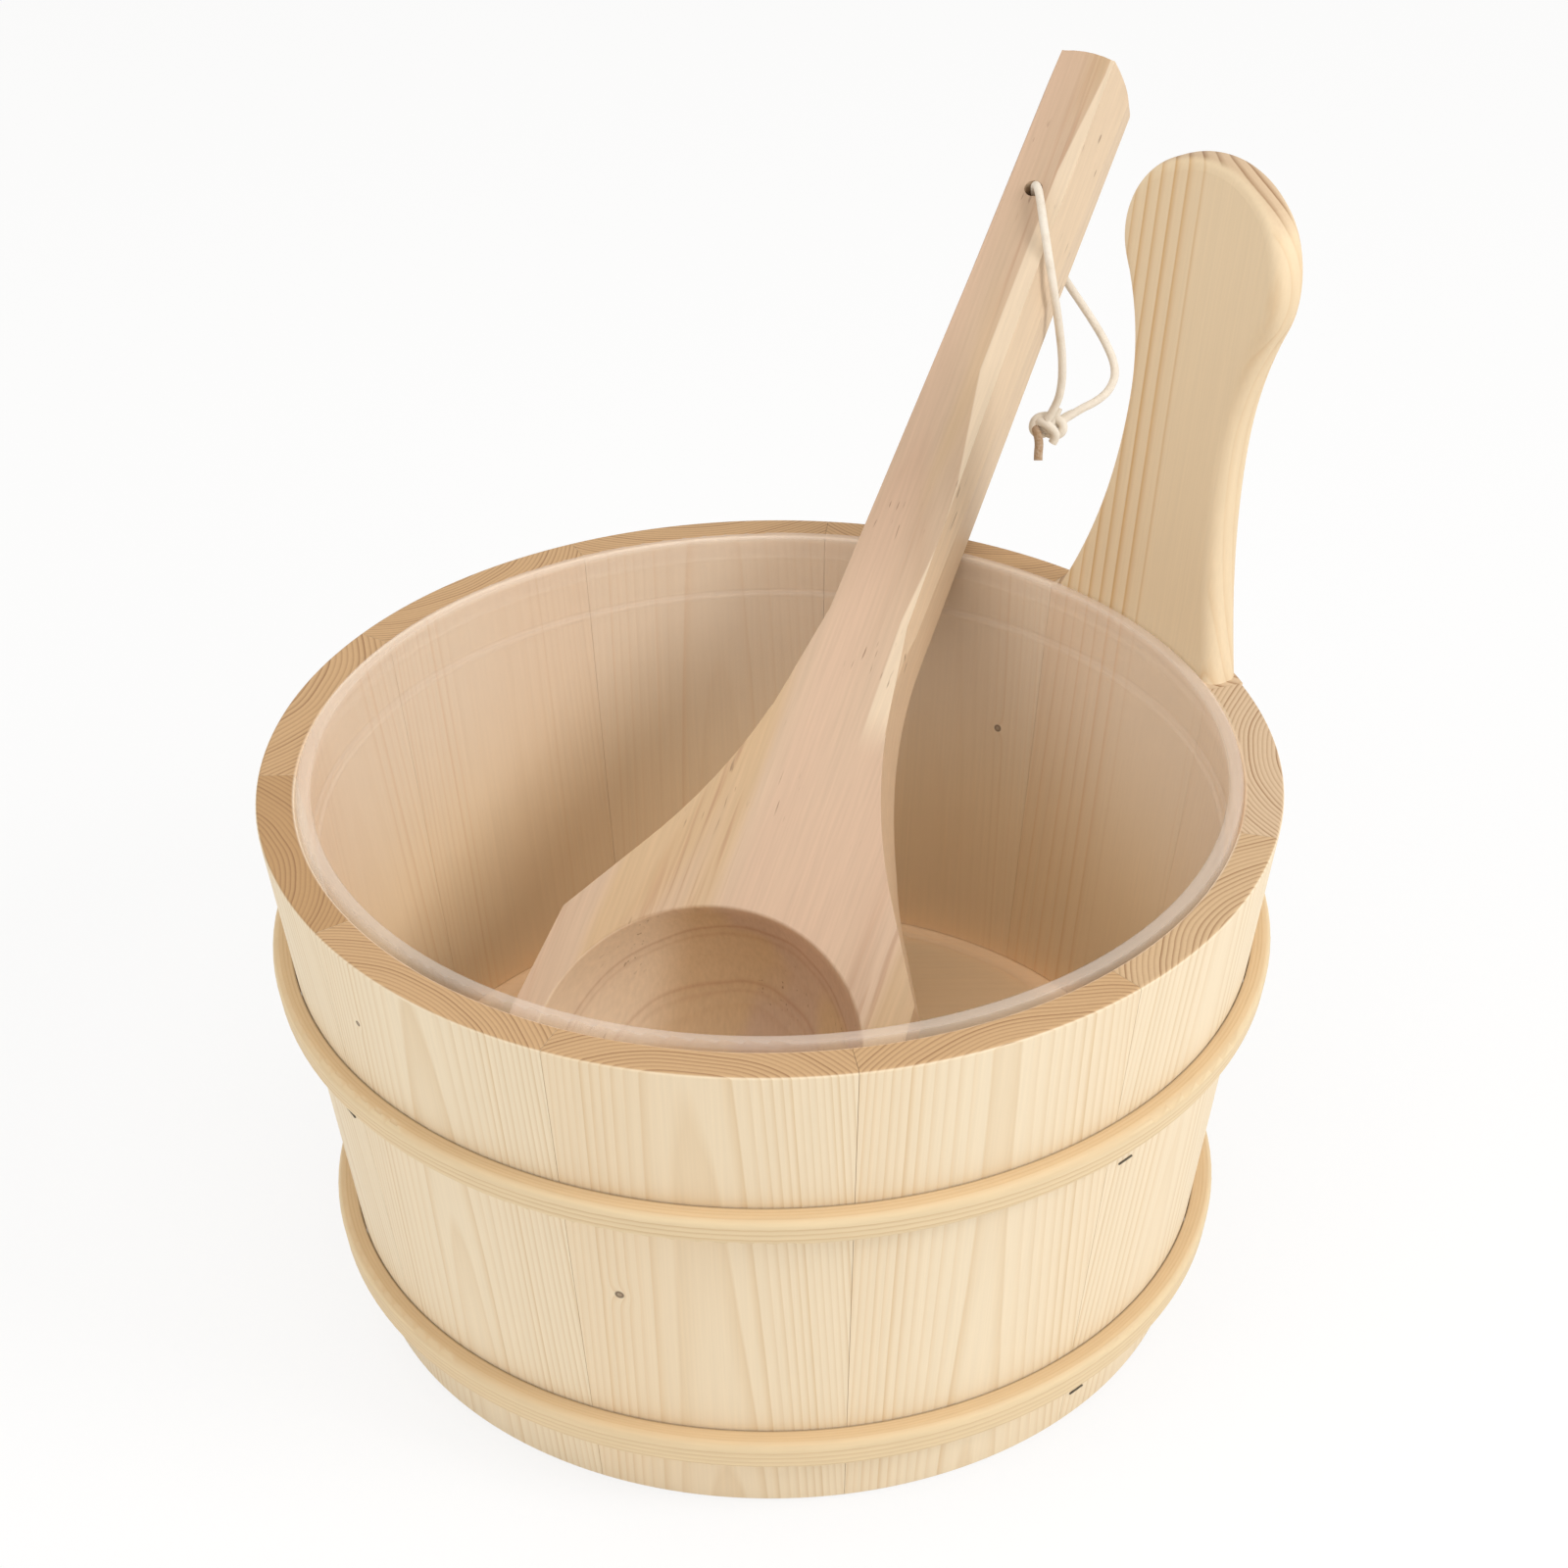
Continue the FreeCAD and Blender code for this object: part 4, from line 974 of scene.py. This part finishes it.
def make_camera():
    """Camera at the photograph's place and angle."""
    data = bpy.data.cameras.new("camera")
    data.lens = CAMERA_LENS
    data.sensor_width = SENSOR_WIDTH
    data.clip_start = CLIP_START
    camera = placed("camera", data)
    axes = Matrix((CAMERA_RIGHT, CAMERA_UP, CAMERA_BACK)).transposed()
    camera.matrix_world = Matrix.Translation(CAMERA_PLACE) @ axes.to_4x4()
    bpy.context.scene.camera = camera


FLOOR_HALF = 3.0
FLOOR_WHITE = srgb(243, 243, 243)
# Share of the floor's look that is plain white: the rest shows light and shadow
FLOOR_GLOW = 0.82


def white_seen(shader_nodes, links):
    """1 for what the camera, a gloss or a clear surface sees, and 0 for light that falls."""
    path = shader_nodes.new("ShaderNodeLightPath")
    seen = path.outputs["Is Camera Ray"]
    for ray in ("Is Glossy Ray", "Is Transmission Ray"):
        either = shader_nodes.new("ShaderNodeMath")
        either.operation = "MAXIMUM"
        links.new(seen, either.inputs[0])
        links.new(path.outputs[ray], either.inputs[1])
        seen = either.outputs[0]
    return seen


def make_floor():
    """Plain pale floor that shows as white and keeps the object's shadow."""
    shader = Shader("floor_white")
    diffuse = shader.node("BsdfDiffuse")
    diffuse.inputs["Color"].default_value = FLOOR_WHITE
    glow = shader.node("Emission")
    share = shader.math("MULTIPLY", white_seen(shader.tree.nodes, shader.tree.links), FLOOR_GLOW)
    blend = shader.node("MixShader")
    shader.put(share, blend.inputs[0])
    shader.put(diffuse.outputs[0], blend.inputs[1])
    shader.put(glow.outputs[0], blend.inputs[2])
    shader.put(blend.outputs[0], shader.output.inputs["Surface"])
    data = bpy.data.meshes.new("floor")
    corners = [(-1, -1), (1, -1), (1, 1), (-1, 1)]
    data.from_pydata([(x * FLOOR_HALF, y * FLOOR_HALF, 0) for x, y in corners], [], [(0, 1, 2, 3)])
    data.materials.append(shader.material)
    placed("floor", data)


WORLD_LIGHT = (0.63, 0.61, 0.58, 1.0)
# What is seen beyond the floor, as pale as the floor's far edge
WORLD_SEEN = (0.92, 0.92, 0.91, 1.0)


def make_world():
    """Soft even light, seen as a pale backdrop."""
    world = bpy.data.worlds.new("studio")
    world.use_nodes = True
    nodes, links = world.node_tree.nodes, world.node_tree.links
    nodes.clear()
    soft = nodes.new("ShaderNodeBackground")
    soft.inputs["Color"].default_value = WORLD_LIGHT
    white = nodes.new("ShaderNodeBackground")
    white.inputs["Color"].default_value = WORLD_SEEN
    blend = nodes.new("ShaderNodeMixShader")
    output = nodes.new("ShaderNodeOutputWorld")
    links.new(white_seen(nodes, links), blend.inputs[0])
    links.new(soft.outputs[0], blend.inputs[1])
    links.new(white.outputs[0], blend.inputs[2])
    links.new(blend.outputs[0], output.inputs["Surface"])
    bpy.context.scene.world = world


# Softboxes: place, size and power; each faces the middle of the pail
LAMP_TARGET = Vector((0.0, 0.0, 0.12))
LAMPS = {
    "key": ((1.3, -0.6, 1.15), 0.7, 13.4),
    "fill": ((-1.3, -0.9, 0.8), 1.2, 5.0),
    "top": ((-0.05, -0.3, 1.7), 1.2, 7.0),
}


def make_lamps():
    """Softboxes from both sides and from above."""
    for name, (place, size, power) in LAMPS.items():
        data = bpy.data.lights.new(name, "AREA")
        data.size = size
        data.energy = power
        lamp = placed(name, data)
        lamp.location = place
        aim = LAMP_TARGET - Vector(place)
        lamp.rotation_euler = aim.to_track_quat("-Z", "Y").to_euler()


make_camera()
make_floor()
make_world()
make_lamps()
bpy.context.scene.view_settings.view_transform = "Standard"

dress_staves()
paint("bottom_board", board_wood())
for hoop_name, hoop_seed in HOOP_SEEDS.items():
    paint(hoop_name, hoop_wood(f"{hoop_name}_wood", hoop_seed))
paint("liner", liner_plastic())
paint("ladle", ladle_wood())
make_thong()
steel = staple_steel()
for hoop_name, hoop_staples in STAPLES.items():
    make_staples(hoop_name, hoop_staples, steel)
